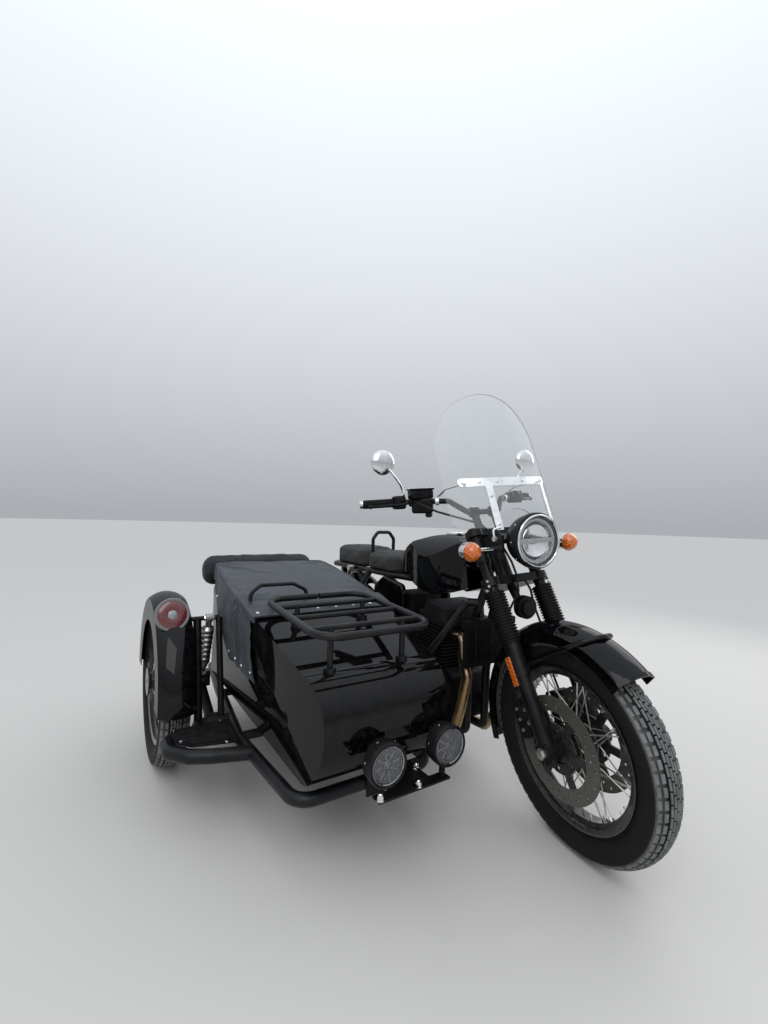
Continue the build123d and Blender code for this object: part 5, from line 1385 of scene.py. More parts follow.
@dataclass
class Cockpit(SteeredAssembly):
    """Handlebar, grips, switches, reservoir and mirrors."""

    grip_start: Point = (240.0, 565.0, 1102.0)
    grip_end: Point = (415.0, 657.0, 1099.0)
    bar_bend: Point = (125.0, 478.0, 1098.0)
    grip_from: float = 78.0
    reservoir: Point = (-213.0, 545.0, 1130.0)
    mirror: Point = (352.0, 585.0, 1262.0)
    mirror_r: float = 50.0

    def along_grip(self, side: int, distance: float) -> Matrix:
        """A place along a grip, with local X outwards along it.

        Args:
            side: 1 for the left, -1 for the right.
            distance: How far along, in millimetres.

        Returns:
            The place.
        """
        start = Vector(self.grip_start)
        way = (Vector(self.grip_end) - start).normalized()
        spot = start + way * distance
        return stand((side * spot.x, spot.y, spot.z), (side * way.x, way.y, way.z))

    def make_grips(self) -> Parts:
        """Ribbed rubber sleeves with a flange at their inner ends."""
        length = (Vector(self.grip_end) - Vector(self.grip_start)).length
        profile = [(self.grip_from - 1, 16.7), (self.grip_from - 1, 21.5), (self.grip_from + 3, 21.5)]
        place = self.grip_from + 5
        while place < length - 5:
            profile += [(place, 16.9), (place + 1.2, 17.9), (place + 4.2, 17.9), (place + 5.4, 16.9)]
            place += 6.6
        profile += [(length - 0.5, 17.6), (length, 16.7)]
        for side in (1, -1):
            yield spun(profile, self.along_grip(side, 0.0), 32, True)

    def make_bar_ends(self) -> Parts:
        """Domed chrome weights at the bar's ends."""
        length = (Vector(self.grip_end) - Vector(self.grip_start)).length
        profile = [(0.5, 0), (0.5, 16.4), (10, 16.4), (14, 14.6), (17, 9), (18, 0)]
        for side in (1, -1):
            yield spun(profile, self.along_grip(side, length), 28)

    def along_bar(self, side: int, distance: float, drop: float = 0.0) -> Matrix:
        """A place on the bar inboard of a grip, with local X outwards along it."""
        way = (Vector(self.grip_start) - Vector(self.bar_bend)).normalized()
        spot = Vector(self.grip_start) - way * distance
        return stand((side * spot.x, spot.y, spot.z - drop), (side * way.x, way.y, way.z))

    def make_switches(self) -> Parts:
        """Switch housings in two halves, with their buttons, perches and the brake's master cylinder."""
        for side in (1, -1):
            at = self.along_grip(side, 50.0)
            yield block((48, 50, 54), at, 9.0, 3)
            yield block((38, 20, 26), at @ moved(0, side * 28, 2), 5.0, 2)
            yield block((12, 10, 16), at @ moved(-10, -side * 27, 8), 3.0, 2)
            yield block((10, 12, 8), at @ moved(9, -side * 27, -10), 2.5, 2)
            yield block((3, 52, 54), at @ moved(25.5, 0, 0), 1.2, 2)
            yield block((34, 40, 40), self.along_bar(side, 4.0), 8.0, 3)
        yield block((84, 46, 62), self.along_bar(-1, 40.0, 16.0), 11.0, 3)
        yield block((26, 34, 30), self.along_bar(-1, 64.0, 48.0), 7.0, 2)
        x, y, z = self.reservoir
        yield block((92, 54, 36), moved(x, y, z), 7.0, 3)
        yield block((97, 59, 7), moved(x, y, z + 20), 2.5, 2)

    def make_levers(self) -> Parts:
        """The clutch and brake levers, with ball ends and pivots."""
        stops = (
            (18, 0, -20, 0), (44, -6, -46, -5), (80, -18, -64, -8), (130, -20, -60, -10),
            (196, -12, -40, -10),
        )
        for side in (1, -1):
            route = []
            for distance, x, y, z in stops:
                spot = self.along_grip(side, distance).translation
                route.append((spot.x + side * x, spot.y + y, spot.z + z))
            yield tube(route, 5.6, 12)
            yield ball(9.0, route[-1])
            yield stud(8, 22, stand((route[0][0], route[0][1], route[0][2] - 11), (0, 0, 1)), 12, 0.15)

    def make_small_screws(self) -> Parts:
        """The reservoir's and clamps' screws."""
        x, y, z = self.reservoir
        for right, back in ((-40, -22), (40, 22), (-40, 22), (40, -22)):
            yield stud(3.6, 2.8, stand((x + right, y + back, z + 23.4), (0, 0, 1)), 12, 0.4)
        for side in (-1, 1):
            for shift in (-9, 9):
                yield stud(5, 6, stand((side * 45 + shift, 414, 1068), (0, -0.5, 0.87)), 6)

    def make_mirror_heads(self) -> Parts:
        """Domed round mirror backs with a rolled rim and a ball joint."""
        r = self.mirror_r
        x, y, z = self.mirror
        arc = [math.radians(k) for k in range(10, 90, 8)]
        dome = [(-7, 0), (-7, r - 4), (-8, r - 1.5), (-6, r), (-1, r)]
        dome += [(20 * math.sin(a) - 1, r * math.cos(a)) for a in arc] + [(19, 0)]
        for side in (1, -1):
            yield spun(dome, stand((side * x, y, z), (0, -1, 0)), 48)
            yield ball(8.0, (side * (x - 8), y - 8, z - 14))

    def make_mirror_stems(self) -> Parts:
        """The bent stems, from the clamps to the heads."""
        for side in (1, -1):
            route = [(272, 582, 1124), (272, 582, 1150), (284, 574, 1172), (310, 570, 1205), (344, 577, 1248)]
            yield tube([(side * x, y, z) for x, y, z in route], 4.4, 12)
            yield stud(9, 12, stand((side * 272, 582, 1122), (0, 0, 1)), 6)

    def make_mirror_glass(self) -> Parts:
        """The glass, facing the rider."""
        x, y, z = self.mirror
        profile = [(0, 0), (0, 46), (1.2, 46), (2, 30), (2.4, 0)]
        for side in (1, -1):
            yield spun(profile, stand((side * x, y + 7.2, z), (0, 1, 0)), 40)

    def build(self) -> None:
        """Dresses the bar and makes the pieces on it."""
        self.add("grips", self.make_grips(), GRIP)
        self.add("bar_ends", self.make_bar_ends(), CHROME)
        self.add("switch_housings", self.make_switches(), SWITCH, ["hand_controls"])
        self.add("levers", self.make_levers(), FORK_COAT)
        self.add("bar_screws", self.make_small_screws(), CHROME)
        self.add("mirror_heads", self.make_mirror_heads(), CHROME, ["mirrors"], 40.0)
        self.add("mirror_stems", self.make_mirror_stems(), CHROME)
        self.add("mirror_glass", self.make_mirror_glass(), MIRROR)
        dress("handlebar", FORK_COAT)
        Screen().build()


# Soft goods


@dataclass
class Cushion(Assembly):
    """A padded seat that stands for a CAD node, crowned and with sewn channels."""

    name: str
    node: str
    fill: float = 0.8
    voxel: float = 6.0
    crown: float = 9.0
    channels: tuple[float, ...] = ()
    groove: float = 5.0
    swell: float = 0.008

    def remeshed(self) -> BMesh:
        """The CAD solid as an even mesh, a little smaller, with its edges eased.

        Returns:
            The mesh in the making.
        """
        bm = from_node(self.node)
        middle = sum((v.co for v in bm.verts), Vector()) / len(bm.verts)
        bmesh.ops.scale(bm, vec=(0.985, 0.985, 0.985), space=Matrix.Translation(-middle), verts=bm.verts)
        even = through_modifier(bm, "REMESH", {"mode": "VOXEL", "voxel_size": self.voxel})
        for _ in range(5):
            bmesh.ops.smooth_vert(
                even, verts=even.verts, factor=0.5, use_axis_x=True, use_axis_y=True, use_axis_z=True
            )
        return even

    def swollen(self, bm: BMesh) -> BMesh:
        """Lets the foam press out against its cover, no further than the swell.

        Args:
            bm: The mesh in the making.

        Returns:
            The mesh in the making.
        """
        start = [v.co.copy() / 1000 for v in bm.verts]
        bmesh.ops.scale(bm, vec=(0.001, 0.001, 0.001), verts=bm.verts)
        mesh = bpy.data.meshes.new("foam")
        bm.to_mesh(mesh)
        bm.free()
        foam = linked("foam", mesh)
        cloth = foam.modifiers.new("Cloth", "CLOTH")
        cloth.settings.use_pressure = True
        cloth.settings.uniform_pressure_force = 4.0
        cloth.settings.effector_weights.gravity = 0.0
        cloth.point_cache.frame_start = 1
        cloth.point_cache.frame_end = 20
        for step in range(1, 21):
            bpy.context.scene.frame_set(step)
        result = bmesh.new()
        result.from_mesh(evaluated(foam).data)
        for vert, was in zip(result.verts, start):
            move = vert.co - was
            if move.length > self.swell:
                move *= self.swell / move.length
            vert.co = (was + move) * 1000
        bpy.data.objects.remove(foam)
        bpy.context.scene.frame_set(1)
        return result

    def build(self) -> None:
        """Makes the cushion."""
        bm = self.swollen(self.remeshed())
        low = Vector([min(v.co[i] for v in bm.verts) for i in range(3)])
        high = Vector([max(v.co[i] for v in bm.verts) for i in range(3)])
        middle = (low + high) / 2
        half = (high - low) / 2
        bm.normal_update()
        for vert in bm.verts:
            away = vert.co - middle
            top = max(0.0, vert.normal.z) ** 2
            dome = max(0.0, 1 - (away.x / half.x) ** 2) * max(0.0, 1 - (away.y / half.y) ** 2)
            dent = sum(bell(vert.co.y - line, 4.5) for line in self.channels)
            dent *= ramp(abs(away.x), half.x * 0.86, half.x * 0.86 - 12.0)
            wrinkle = noise.noise(vert.co * 0.03) * 1.2 + noise.noise(vert.co * 0.09) * 0.5
            vert.co.z += top * (dome * self.crown - dent * self.groove)
            vert.co += vert.normal * wrinkle
        seat = self.add(self.name, bm, SEAT, [self.node], 60.0, 1)


@dataclass
class FittedCover(Assembly):
    """A sheet that lies on a CAD node's outer face, read by rays from a core line inside it."""

    node: str
    middle_x: float = -575.0
    rows: int = 96
    columns: int = 140
    points: list[list[Vector]] = field(default_factory=list)

    def frame_row(self, share: float) -> tuple[Vector, Vector, float, float]:
        """One row's plane; each cover has its own.

        Args:
            share: The row's place from front to rear, 0 to 1.

        Returns:
            The core point, the way up in the row's plane, and how far the right and left edges
            reach along that way, from the core.
        """
        raise NotImplementedError

    def hit(self, trees: Sequence[BVHTree], start: Vector, way: Vector) -> Optional[Vector]:
        """The first outer face that a ray meets.

        Args:
            trees: The solids to hit.
            start: Where the ray starts.
            way: The ray's direction.

        Returns:
            The point, or None where the ray meets nothing.
        """
        for tree in trees:
            place, _, _, _ = tree.ray_cast(start, way)
            if place is not None:
                return place
        return None

    def measure(self) -> None:
        """Reads the rows of points, evenly spaced across."""
        trees = []
        for node in (self.node, "sidecar_body"):
            bm = from_node(node)
            trees.append(BVHTree.FromBMesh(bm))
            bm.free()
        across = Vector((1, 0, 0))
        for row in range(self.rows):
            core, up, right_low, left_low = self.frame_row(row / (self.rows - 1))
            ends = []
            for side, low in ((-1, right_low), (1, left_low)):
                spot = core + up * low
                place = self.hit(trees, spot + across * side * 600, across * -side)
                reach = abs((place - core).dot(across)) if place is not None else 260.0
                ends.append(math.atan2(side * reach, low))
            line = []
            for step in range(241):
                angle = ends[0] + (ends[1] - ends[0]) * step / 240
                way = up * math.cos(angle) + across * math.sin(angle)
                place = self.hit(trees, core + way * 700, -way)
                if place is not None:
                    line.append(place)
            self.points.append(self.evened(line))

    def evened(self, line: Sequence[Vector]) -> list[Vector]:
        """A line's points, spaced evenly along it.

        Args:
            line: The points, in order.

        Returns:
            The new points.
        """
        gone = [0.0]
        for first, second in zip(line, line[1:]):
            gone.append(gone[-1] + (second - first).length)
        result = []
        index = 0
        for column in range(self.columns):
            target = gone[-1] * column / (self.columns - 1)
            while index < len(line) - 2 and gone[index + 1] < target:
                index += 1
            span = max(1e-6, gone[index + 1] - gone[index])
            result.append(line[index].lerp(line[index + 1], (target - gone[index]) / span))
        return result

    def eased(self, rounds: int) -> None:
        """Eases the rows lengthwise, so that the cover bridges small steps.

        Args:
            rounds: How often.
        """
        for _ in range(rounds):
            before = [list(row) for row in self.points]
            for row in range(1, self.rows - 1):
                for column in range(self.columns):
                    near = (before[row - 1][column] + before[row + 1][column]) / 2
                    self.points[row][column] = before[row][column].lerp(near, 0.5)

    def rise(self, spot: Vector, row: int, column: int) -> float:
        """How far the cloth stands off at a point; each cover has its own folds.

        Args:
            spot: The point on the CAD face.
            row: Its row.
            column: Its place in the row.

        Returns:
            The distance in millimetres.
        """
        raise NotImplementedError

    def make_sheet(self, thick: float) -> tuple[BMesh, float, float, float]:
        """Makes the sheet.

        Args:
            thick: Its thickness, inwards.

        Returns:
            The mesh in the making with a UV map in metres, its widest and longest lines, and its area
            in square metres.
        """
        bm = bmesh.new()
        grid = [[bm.verts.new(spot) for spot in row] for row in self.points]
        layer = bm.loops.layers.uv.new("cloth")
        widths = [sum((b - a).length for a, b in zip(row, row[1:])) for row in self.points]
        lengths = [0.0] * self.columns
        place: dict[BMVert, Flat] = {}
        for row in range(self.rows):
            for column in range(self.columns):
                if row:
                    lengths[column] += (self.points[row][column] - self.points[row - 1][column]).length
                u = (column / (self.columns - 1) - 0.5) * widths[row]
                place[grid[row][column]] = (u, lengths[self.columns // 2])
        for near, far in zip(grid, grid[1:]):
            for column in range(self.columns - 1):
                bm.faces.new((near[column], near[column + 1], far[column + 1], far[column]))
        bm.normal_update()
        inside = Vector((self.middle_x, 900.0, 560.0))
        if sum(f.normal.dot(f.calc_center_median() - inside) for f in bm.faces) < 0:
            bmesh.ops.reverse_faces(bm, faces=bm.faces)
            bm.normal_update()
        for face in bm.faces:
            for loop in face.loops:
                u, v = place[loop.vert]
                loop[layer].uv = (u / 1000, v / 1000)
        for row, line in enumerate(grid):
            for column, vert in enumerate(line):
                vert.co += vert.normal * self.rise(vert.co, row, column)
        self.points = [[vert.co.copy() for vert in line] for line in grid]
        area = sum(f.calc_area() for f in bm.faces) / 1e6
        bmesh.ops.remove_doubles(bm, verts=bm.verts, dist=0.05)
        bmesh.ops.solidify(bm, geom=bm.faces, thickness=thick)
        return bm, max(widths) / 1000, max(lengths) / 1000, area


@dataclass
class Tonneau(FittedCover):
    """The cockpit's cover: from the cowl over the seat back, with a skirt down its right side."""

    node: str = "tonneau_cover"
    front_y: float = 643.0
    turn_y: float = 1196.0
    turn_z: float = 722.0
    core_z: float = 540.0
    hem_z: float = 448.0
    rim_z: float = 643.0
    straight: float = 0.86

    def frame_row(self, share: float) -> tuple[Vector, Vector, float, float]:
        """Upright planes as far as the seat back, then planes that turn over it."""
        if share < self.straight:
            part = share / self.straight
            y = self.front_y + (self.turn_y - self.front_y) * part
            lift = ramp(y, 900.0, self.turn_y)
            core = Vector((self.middle_x, y, self.core_z + (self.turn_z - self.core_z) * lift))
            right = self.hem_z + (self.turn_z - self.hem_z) * ramp(y, 945.0, self.turn_y)
            left = self.rim_z + (self.turn_z - self.rim_z) * ramp(y, 1100.0, self.turn_y)
            return core, Vector((0, 0, 1)), right - core.z, left - core.z
        turn = math.radians(90.0) * (share - self.straight) / (1 - self.straight)
        core = Vector((self.middle_x, self.turn_y, self.turn_z))
        return core, Vector((0, math.sin(turn), math.cos(turn))), 1.0, 1.0

    def rise(self, spot: Vector, row: int, column: int) -> float:
        """Billows, corner gathers and the skirt's soft folds."""
        height = noise.noise(spot * 0.0075) * 2.2 + noise.noise(spot * 0.022) * 0.9 + 0.6
        for corner, spread, folds, depth in (
            (Vector((-832, 1205, 786)), 190.0, 8.0, 3.4), (Vector((-845, 770, 700)), 150.0, 11.0, 3.6),
            (Vector((-318, 1205, 786)), 170.0, 8.0, 2.6), (Vector((-300, 770, 700)), 120.0, 9.0, 2.2),
        ):
            away = spot - corner
            distance = away.length
            angle = math.atan2(away.y, away.x - away.z * 0.6) + noise.noise(spot * 0.012) * 0.5
            fade = bell(distance, spread) * min(1.0, distance / 35.0)
            height += depth * fade * math.sin(angle * folds)
        if spot.x < self.middle_x:
            fall = ramp(spot.z, 680.0, 520.0)
            height += fall * 3.2 * (1 + math.sin(spot.y / 19.0 + noise.noise(spot * 0.01) * 5.0))
        panel = ramp(spot.z, 700.0, 760.0)
        height += panel * 1.1 * math.sin(spot.x / 24.0 + noise.noise(spot * 0.006) * 6.0)
        edge = min(row, self.rows - 1 - row) / 2.0
        side = min(column, self.columns - 1 - column) / 2.0
        return height + 1.2 * (1 - min(1.0, edge, side))

    def shoulder(self, row: int, side: int) -> int:
        """The column where the cover turns down, on one side of a row."""
        columns = range(self.columns // 2) if side < 0 else range(self.columns // 2, self.columns)
        return max(columns, key=lambda c: self.points[row][c].z + side * self.points[row][c].x)

    def make_piping(self) -> BMesh:
        """The piped seam: up the right shoulder, across the seat back's crest and down the left.

        Returns:
            The mesh in the making.
        """
        crest = round(self.straight * (self.rows - 1)) + 3
        route = [self.points[row][self.shoulder(row, -1)] for row in range(14, crest - 2, 5)]
        across = range(self.shoulder(crest, -1) + 5, self.shoulder(crest, 1) - 4, 7)
        route += [self.points[crest][column] for column in across]
        route += [self.points[row][self.shoulder(row, 1)] for row in range(crest - 3, 14, -5)]
        return tube([tuple(spot + Vector((0, 0, 0.6))) for spot in route], 2.3, 8)

    def make_studs(self) -> Parts:
        """Press studs round the skirt's hem and along the cowl."""
        for row in range(6, round(self.straight * (self.rows - 1)) - 4, 13):
            for column, near in ((4, 3), (self.columns - 5, self.columns - 4)):
                spot = self.points[row][column]
                along = self.points[row + 1][column] - spot
                across = self.points[row][near] - spot
                out = along.cross(across).normalized()
                if out.x * (spot.x - self.middle_x) < 0:
                    out.negate()
                yield stud(6.5, 3.0, stand(tuple(spot + out * 0.4), tuple(out)), 18, 0.45)

    def build(self) -> None:
        """Makes the cover, its piping and its studs."""
        self.measure()
        self.eased(2)
        bm, width, length, area = self.make_sheet(2.6)
        cover = self.add("tonneau", bm, TONNEAU, [self.node], 70.0)
        piping = self.add("tonneau_piping", self.make_piping(), PIPING)
        studs = self.add("tonneau_studs", self.make_studs(), CHROME)
        log.info("tonneau flat %.3f by %.3f m, area %.3f", width, length, area)
        min(area, width * length)


@dataclass
class CowlPad(FittedCover):
    """The padded roll along the cowl's rear edge."""

    node: str = "cowl_pad"
    rows: int = 26
    columns: int = 150
    front_y: float = 607.0
    rear_y: float = 724.0

    def frame_row(self, share: float) -> tuple[Vector, Vector, float, float]:
        """Upright planes from the pad's front edge to its rear one."""
        y = self.front_y + (self.rear_y - self.front_y) * share
        low = 658.0 + (680.0 - 658.0) * share - 540.0
        return Vector((self.middle_x, y, 540.0)), Vector((0, 0, 1)), low, low

    def rise(self, spot: Vector, row: int, column: int) -> float:
        """A crown between its edges, drawn in at a seam along its middle."""
        share = row / (self.rows - 1)
        ends = min(column, self.columns - 1 - column) / 6.0
        crown = 3.4 * min(1.0, ends) * math.sin(math.pi * share) ** 0.6
        seam = 2.4 * bell((share - 0.5) * (self.rear_y - self.front_y), 4.5)
        return crown - seam - 3.0 + noise.noise(spot * 0.03) * 0.9

    def build(self) -> None:
        """Makes the pad and its studs."""
        self.measure()
        bm, _, _, _ = self.make_sheet(6.5)
        bevel_edges(bm, 2.4, 2, 50.0)
        pad = self.add("cowl_pad_roll", bm, PAD, [self.node], 60.0)
        studs = []
        for column in range(12, self.columns, 18):
            spot = self.points[4][column]
            normal = (self.points[5][column] - spot).cross(self.points[4][column + 1] - spot).normalized()
            if normal.z < 0:
                normal.negate()
            studs.append(stud(6.5, 3.0, stand(tuple(spot), tuple(normal)), 18, 0.45))
        self.add("cowl_pad_studs", studs, CHROME)


@dataclass
class SoftTop(Assembly):
    """The folded soft top in its cover, strapped behind the seat back."""

    middle: Point = (-595.0, 1342.0, 754.0)
    half: float = 262.0
    radius: float = 66.0
    round_end: float = 46.0
    straps: tuple[float, ...] = (-705.0, -445.0)
    foot_z: float = 640.6

    def make_roll(self) -> BMesh:
        """The roll: soft ends, long folds, and a waist under each strap.

        Returns:
            The mesh in the making.
        """
        end = self.round_end
        arc = [math.radians(15 * step) for step in range(7)]
        corner = [(self.half - end * (1 - math.cos(a)), self.radius - end + end * math.sin(a)) for a in arc]
        flat = 2 * self.half - 2 * end
        profile = [(-self.half, 0.0)] + [(-x, r) for x, r in corner]
        profile += [(-self.half + end + flat * step / 60, self.radius) for step in range(1, 60)]
        profile += corner[::-1] + [(self.half, 0.0)]
        bm = spun(profile, Matrix.Translation(self.middle), 72)
        middle = Vector(self.middle)
        bm.normal_update()
        for vert in bm.verts:
            away = vert.co - middle
            angle = math.atan2(away.z, away.y)
            fade = max(0.0, 1 - (abs(away.x) / self.half) ** 6)
            fold = math.sin(angle * 5 + noise.noise(Vector((away.x * 0.006, angle, 0))) * 3.0)
            slack = noise.noise(vert.co * 0.014) * 3.0 + noise.noise(vert.co * 0.04)
            lift = fade * (fold * 1.6 + slack)
            for strap in self.straps:
                lift -= 4.5 * bell(vert.co.x - strap, 20.0)
            lift += 2.0 * bell(angle - 2.4, 0.10)
            vert.co += vert.normal * lift
            vert.co.z -= 5.0 * (away.x / self.half) ** 2
        return bm

    def make_straps(self) -> Parts:
        """Webbing straps round the roll, down to the posts."""
        for x in self.straps:
            r = self.radius
            band = [(-16, r - 4), (16, r - 4), (16, r - 1.2), (-16, r - 1.2)]
            yield spun(band, moved(x, self.middle[1], self.middle[2] - 1), 72, True)
            for side in (-1, 1):
                foot = moved(x, self.middle[1] + side * 29, (self.foot_z + 700) / 2 + 4)
                yield block((30, 3, 700 - self.foot_z + 6), foot, 0.8, 1)

    def make_posts(self) -> Parts:
        """The two posts that carry the roll, and their foot plates."""
        for x in self.straps:
            tall = self.middle[2] - 42 - self.foot_z
            at = moved(x, self.middle[1], self.foot_z + tall / 2)
            yield block((28, 54, tall), at, 3.0, 2)
            plate = moved(x, self.middle[1], self.foot_z + 3)
            yield block((54, 78, 6), plate, 1.5, 2)
            for back, right in ((-30, 18), (-30, -18), (30, 18), (30, -18)):
                spot = (x + right, self.middle[1] + back, self.foot_z + 6)
                yield stud(5, 4.5, stand(spot, (0, 0, 1)), 6)

    def make_buckles(self) -> Parts:
        """A slide buckle on each strap, on the roll's rear face."""
        for x in self.straps:
            at = moved(x, self.middle[1] + self.radius - 1, self.middle[2] - 4)
            for shift in (-15, 0, 15):
                yield block((40, 4, 4), at @ moved(0, 1.5, shift), 1.4, 2)
            for shift in (-18.5, 18.5):
                yield block((4, 4, 33), at @ moved(shift, 1.5, 0), 1.4, 2)

    def build(self) -> None:
        """Makes the roll and what holds it."""
        roll = self.add("soft_top_roll", self.make_roll(), SOFT_TOP, ["soft_top"], 80.0)
        self.add("soft_top_straps", self.make_straps(), WEBBING)
        self.add("soft_top_posts", self.make_posts(), SATIN)
        self.add("soft_top_buckles", self.make_buckles(), ZINC)


# The motorcycle


@dataclass
class Motorcycle(Assembly):
    """The bike's frame, engine, tank, seats and rear end."""

    cover_bolts: tuple[tuple[float, float, float, float, int], ...] = (
        (-131.0, 580.0, 322.0, 84.0, 9), (-123.0, 790.0, 350.0, 60.0, 6),
        (128.0, 580.0, 322.0, 78.0, 9), (120.0, 800.0, 350.0, 54.0, 6),
    )
    sprocket: Point = (67.5, 1445.0, 327.0)
    sprocket_r: float = 90.0
    drive: Point = (67.5, 893.0, 398.0)
    drive_r: float = 36.0
    link: float = 15.9

    def make_cover_bolts(self) -> Parts:
        """Cap bolts round the engine's side covers."""
        for x, y, z, radius, count in self.cover_bolts:
            side = 1 if x > 0 else -1
            for number in range(count):
                angle = 2 * math.pi * (number + 0.3) / count
                spot = (x, y + radius * math.cos(angle), z + radius * math.sin(angle))
                yield stud(5.0, 4.5, stand(spot, (side, 0, 0)), 12, 0.3)

    def make_cover_rings(self) -> Parts:
        """Raised round inspection caps on the side covers."""
        for x, y, z, radius, _ in self.cover_bolts:
            side = 1 if x > 0 else -1
            shares = [(-1, 0), (-1, 0.62), (2.5, 0.62), (4, 0.58), (4.2, 0.30), (2.6, 0.26), (3.4, 0)]
            cap = [(out, radius * share) for out, share in shares]
            yield spun(cap, stand((x, y, z), (side, 0, 0)), 44)

    def rim(self, front: bool, angle: float) -> Vector:
        """A point on the pitch circle of the front or the rear sprocket."""
        centre, radius = (self.drive, self.drive_r) if front else (self.sprocket, self.sprocket_r)
        return Vector(centre) + Vector((0, math.cos(angle), math.sin(angle))) * radius

    def chain_route(self) -> Iterator[tuple[Vector, float]]:
        """The chain's link centres and their slopes, from the rear sprocket's top and round both.

        Returns:
            Each link's centre and slope.
        """
        gap = Vector(self.drive) - Vector(self.sprocket)
        lean = math.asin((self.sprocket_r - self.drive_r) / gap.length)
        run = gap.length * math.cos(lean)
        top = math.atan2(gap.z, gap.y) + math.pi / 2 - lean
        foot = top - math.pi + 2 * lean
        upper = run + self.drive_r * (math.pi - 2 * lean)
        total = upper + run + self.sprocket_r * (math.pi + 2 * lean)
        count = 2 * round(total / self.link / 2)
        for number in range(count):
            gone = number * total / count
            lower = gone >= upper
            if lower:
                gone -= upper
            angle = foot if lower else top
            if gone < run:
                start, end = self.rim(lower, angle), self.rim(not lower, angle)
                yield start.lerp(end, gone / run), math.atan2((end - start).z, (end - start).y)
            else:
                angle -= (gone - run) / (self.sprocket_r if lower else self.drive_r)
                yield self.rim(not lower, angle), angle - math.pi / 2

    def make_chain(self) -> Parts:
        """The final-drive chain: side plates and the pins between them."""
        for spot, slope in self.chain_route():
            at = Matrix.Translation(spot) @ Matrix.Rotation(slope, 4, "X")
            for side in (-1, 1):
                yield block((1.0, 14.9, 9.6), at @ moved(side * 4.4, 0, 0))
                pin = stand((spot.x + side * 4.8, spot.y, spot.z), (side, 0, 0))
                yield stud(2.4, 0.7, pin, 8, 0.3)

    def make_tank_cap(self) -> BMesh:
        """The round filler cap with its raised rim."""
        profile = [(0, 0), (0, 40), (3, 41), (8, 40), (10, 36), (9, 31), (12, 28), (14, 16), (14.5, 0)]
        return spun(profile, stand((0, 585, 952), (0, 0, 1)), 48)

    def make_tail_lens(self) -> BMesh:
        """The round tail lens, stepped like a pressed glass."""
        profile = [(-3, 0), (-3, 41), (2, 41), (3.5, 38), (3.5, 30), (5, 28), (5, 14), (6, 12), (6, 0)]
        return spun(profile, stand((0, 1827.4, 600), (0, 1, 0)), 48)

    def make_rear_indicator_lenses(self) -> Parts:
        """The amber domes of the rear indicators."""
        arc = [math.radians(a) for a in range(0, 91, 9)]
        dome = [(-2, 0), (-2, 28.4)] + [(20 * math.sin(a), 29 * math.cos(a)) for a in arc]
        for side in (-1, 1):
            yield spun(dome, stand((side * 160, 1793.4, 600), (0, 1, 0)), 40)

    def make_radiator_fins(self) -> Parts:
        """Fine fins and two guards over the radiator's core."""
        for number in range(24):
            yield block((238, 3.0, 1.2), moved(0, 371.0, 494 + number * 5.2))
        for x in (-80, 0, 80):
            yield block((5, 5, 132), moved(x, 370, 554), 1.5, 1)

    def build(self) -> None:
        """Dresses the bike's nodes and makes its small pieces."""
        finishes = {
            "bike_frame": TUBE_COAT, "swingarm": TUBE_COAT, "rear_shocks": STAINLESS, "engine": CAST,
            "exhaust": HEADERS, "radiator": CORE, "fuel_tank": GLOSS, "grab_handle": TUBE_COAT,
            "side_panels": GLOSS, "rear_mudguard": GLOSS, "tail_lamps": SATIN, "footpegs": PEG_RUBBER,
            "airbox": BOX_PLASTIC,
        }
        for node, finish in finishes.items():
            dress(node, finish)
        self.add("engine_cover_bolts", self.make_cover_bolts(), ZINC)
        self.add("engine_cover_caps", self.make_cover_rings(), FINS)
        self.add("tail_lens", self.make_tail_lens(), RED)
        self.add("rear_indicator_lenses", self.make_rear_indicator_lenses(), AMBER)
        self.add("drive_chain", self.make_chain(), ZINC)
        self.add("tank_cap", self.make_tank_cap(), CHROME)
        self.add("radiator_fins", self.make_radiator_fins(), SATIN)
        Cushion("rider_saddle", "rider_seat", 0.85, channels=tuple(range(905, 1110, 36))).build()
        Cushion("pillion_saddle", "pillion_seat", 0.85, channels=tuple(range(1200, 1470, 36))).build()


# The sidecar


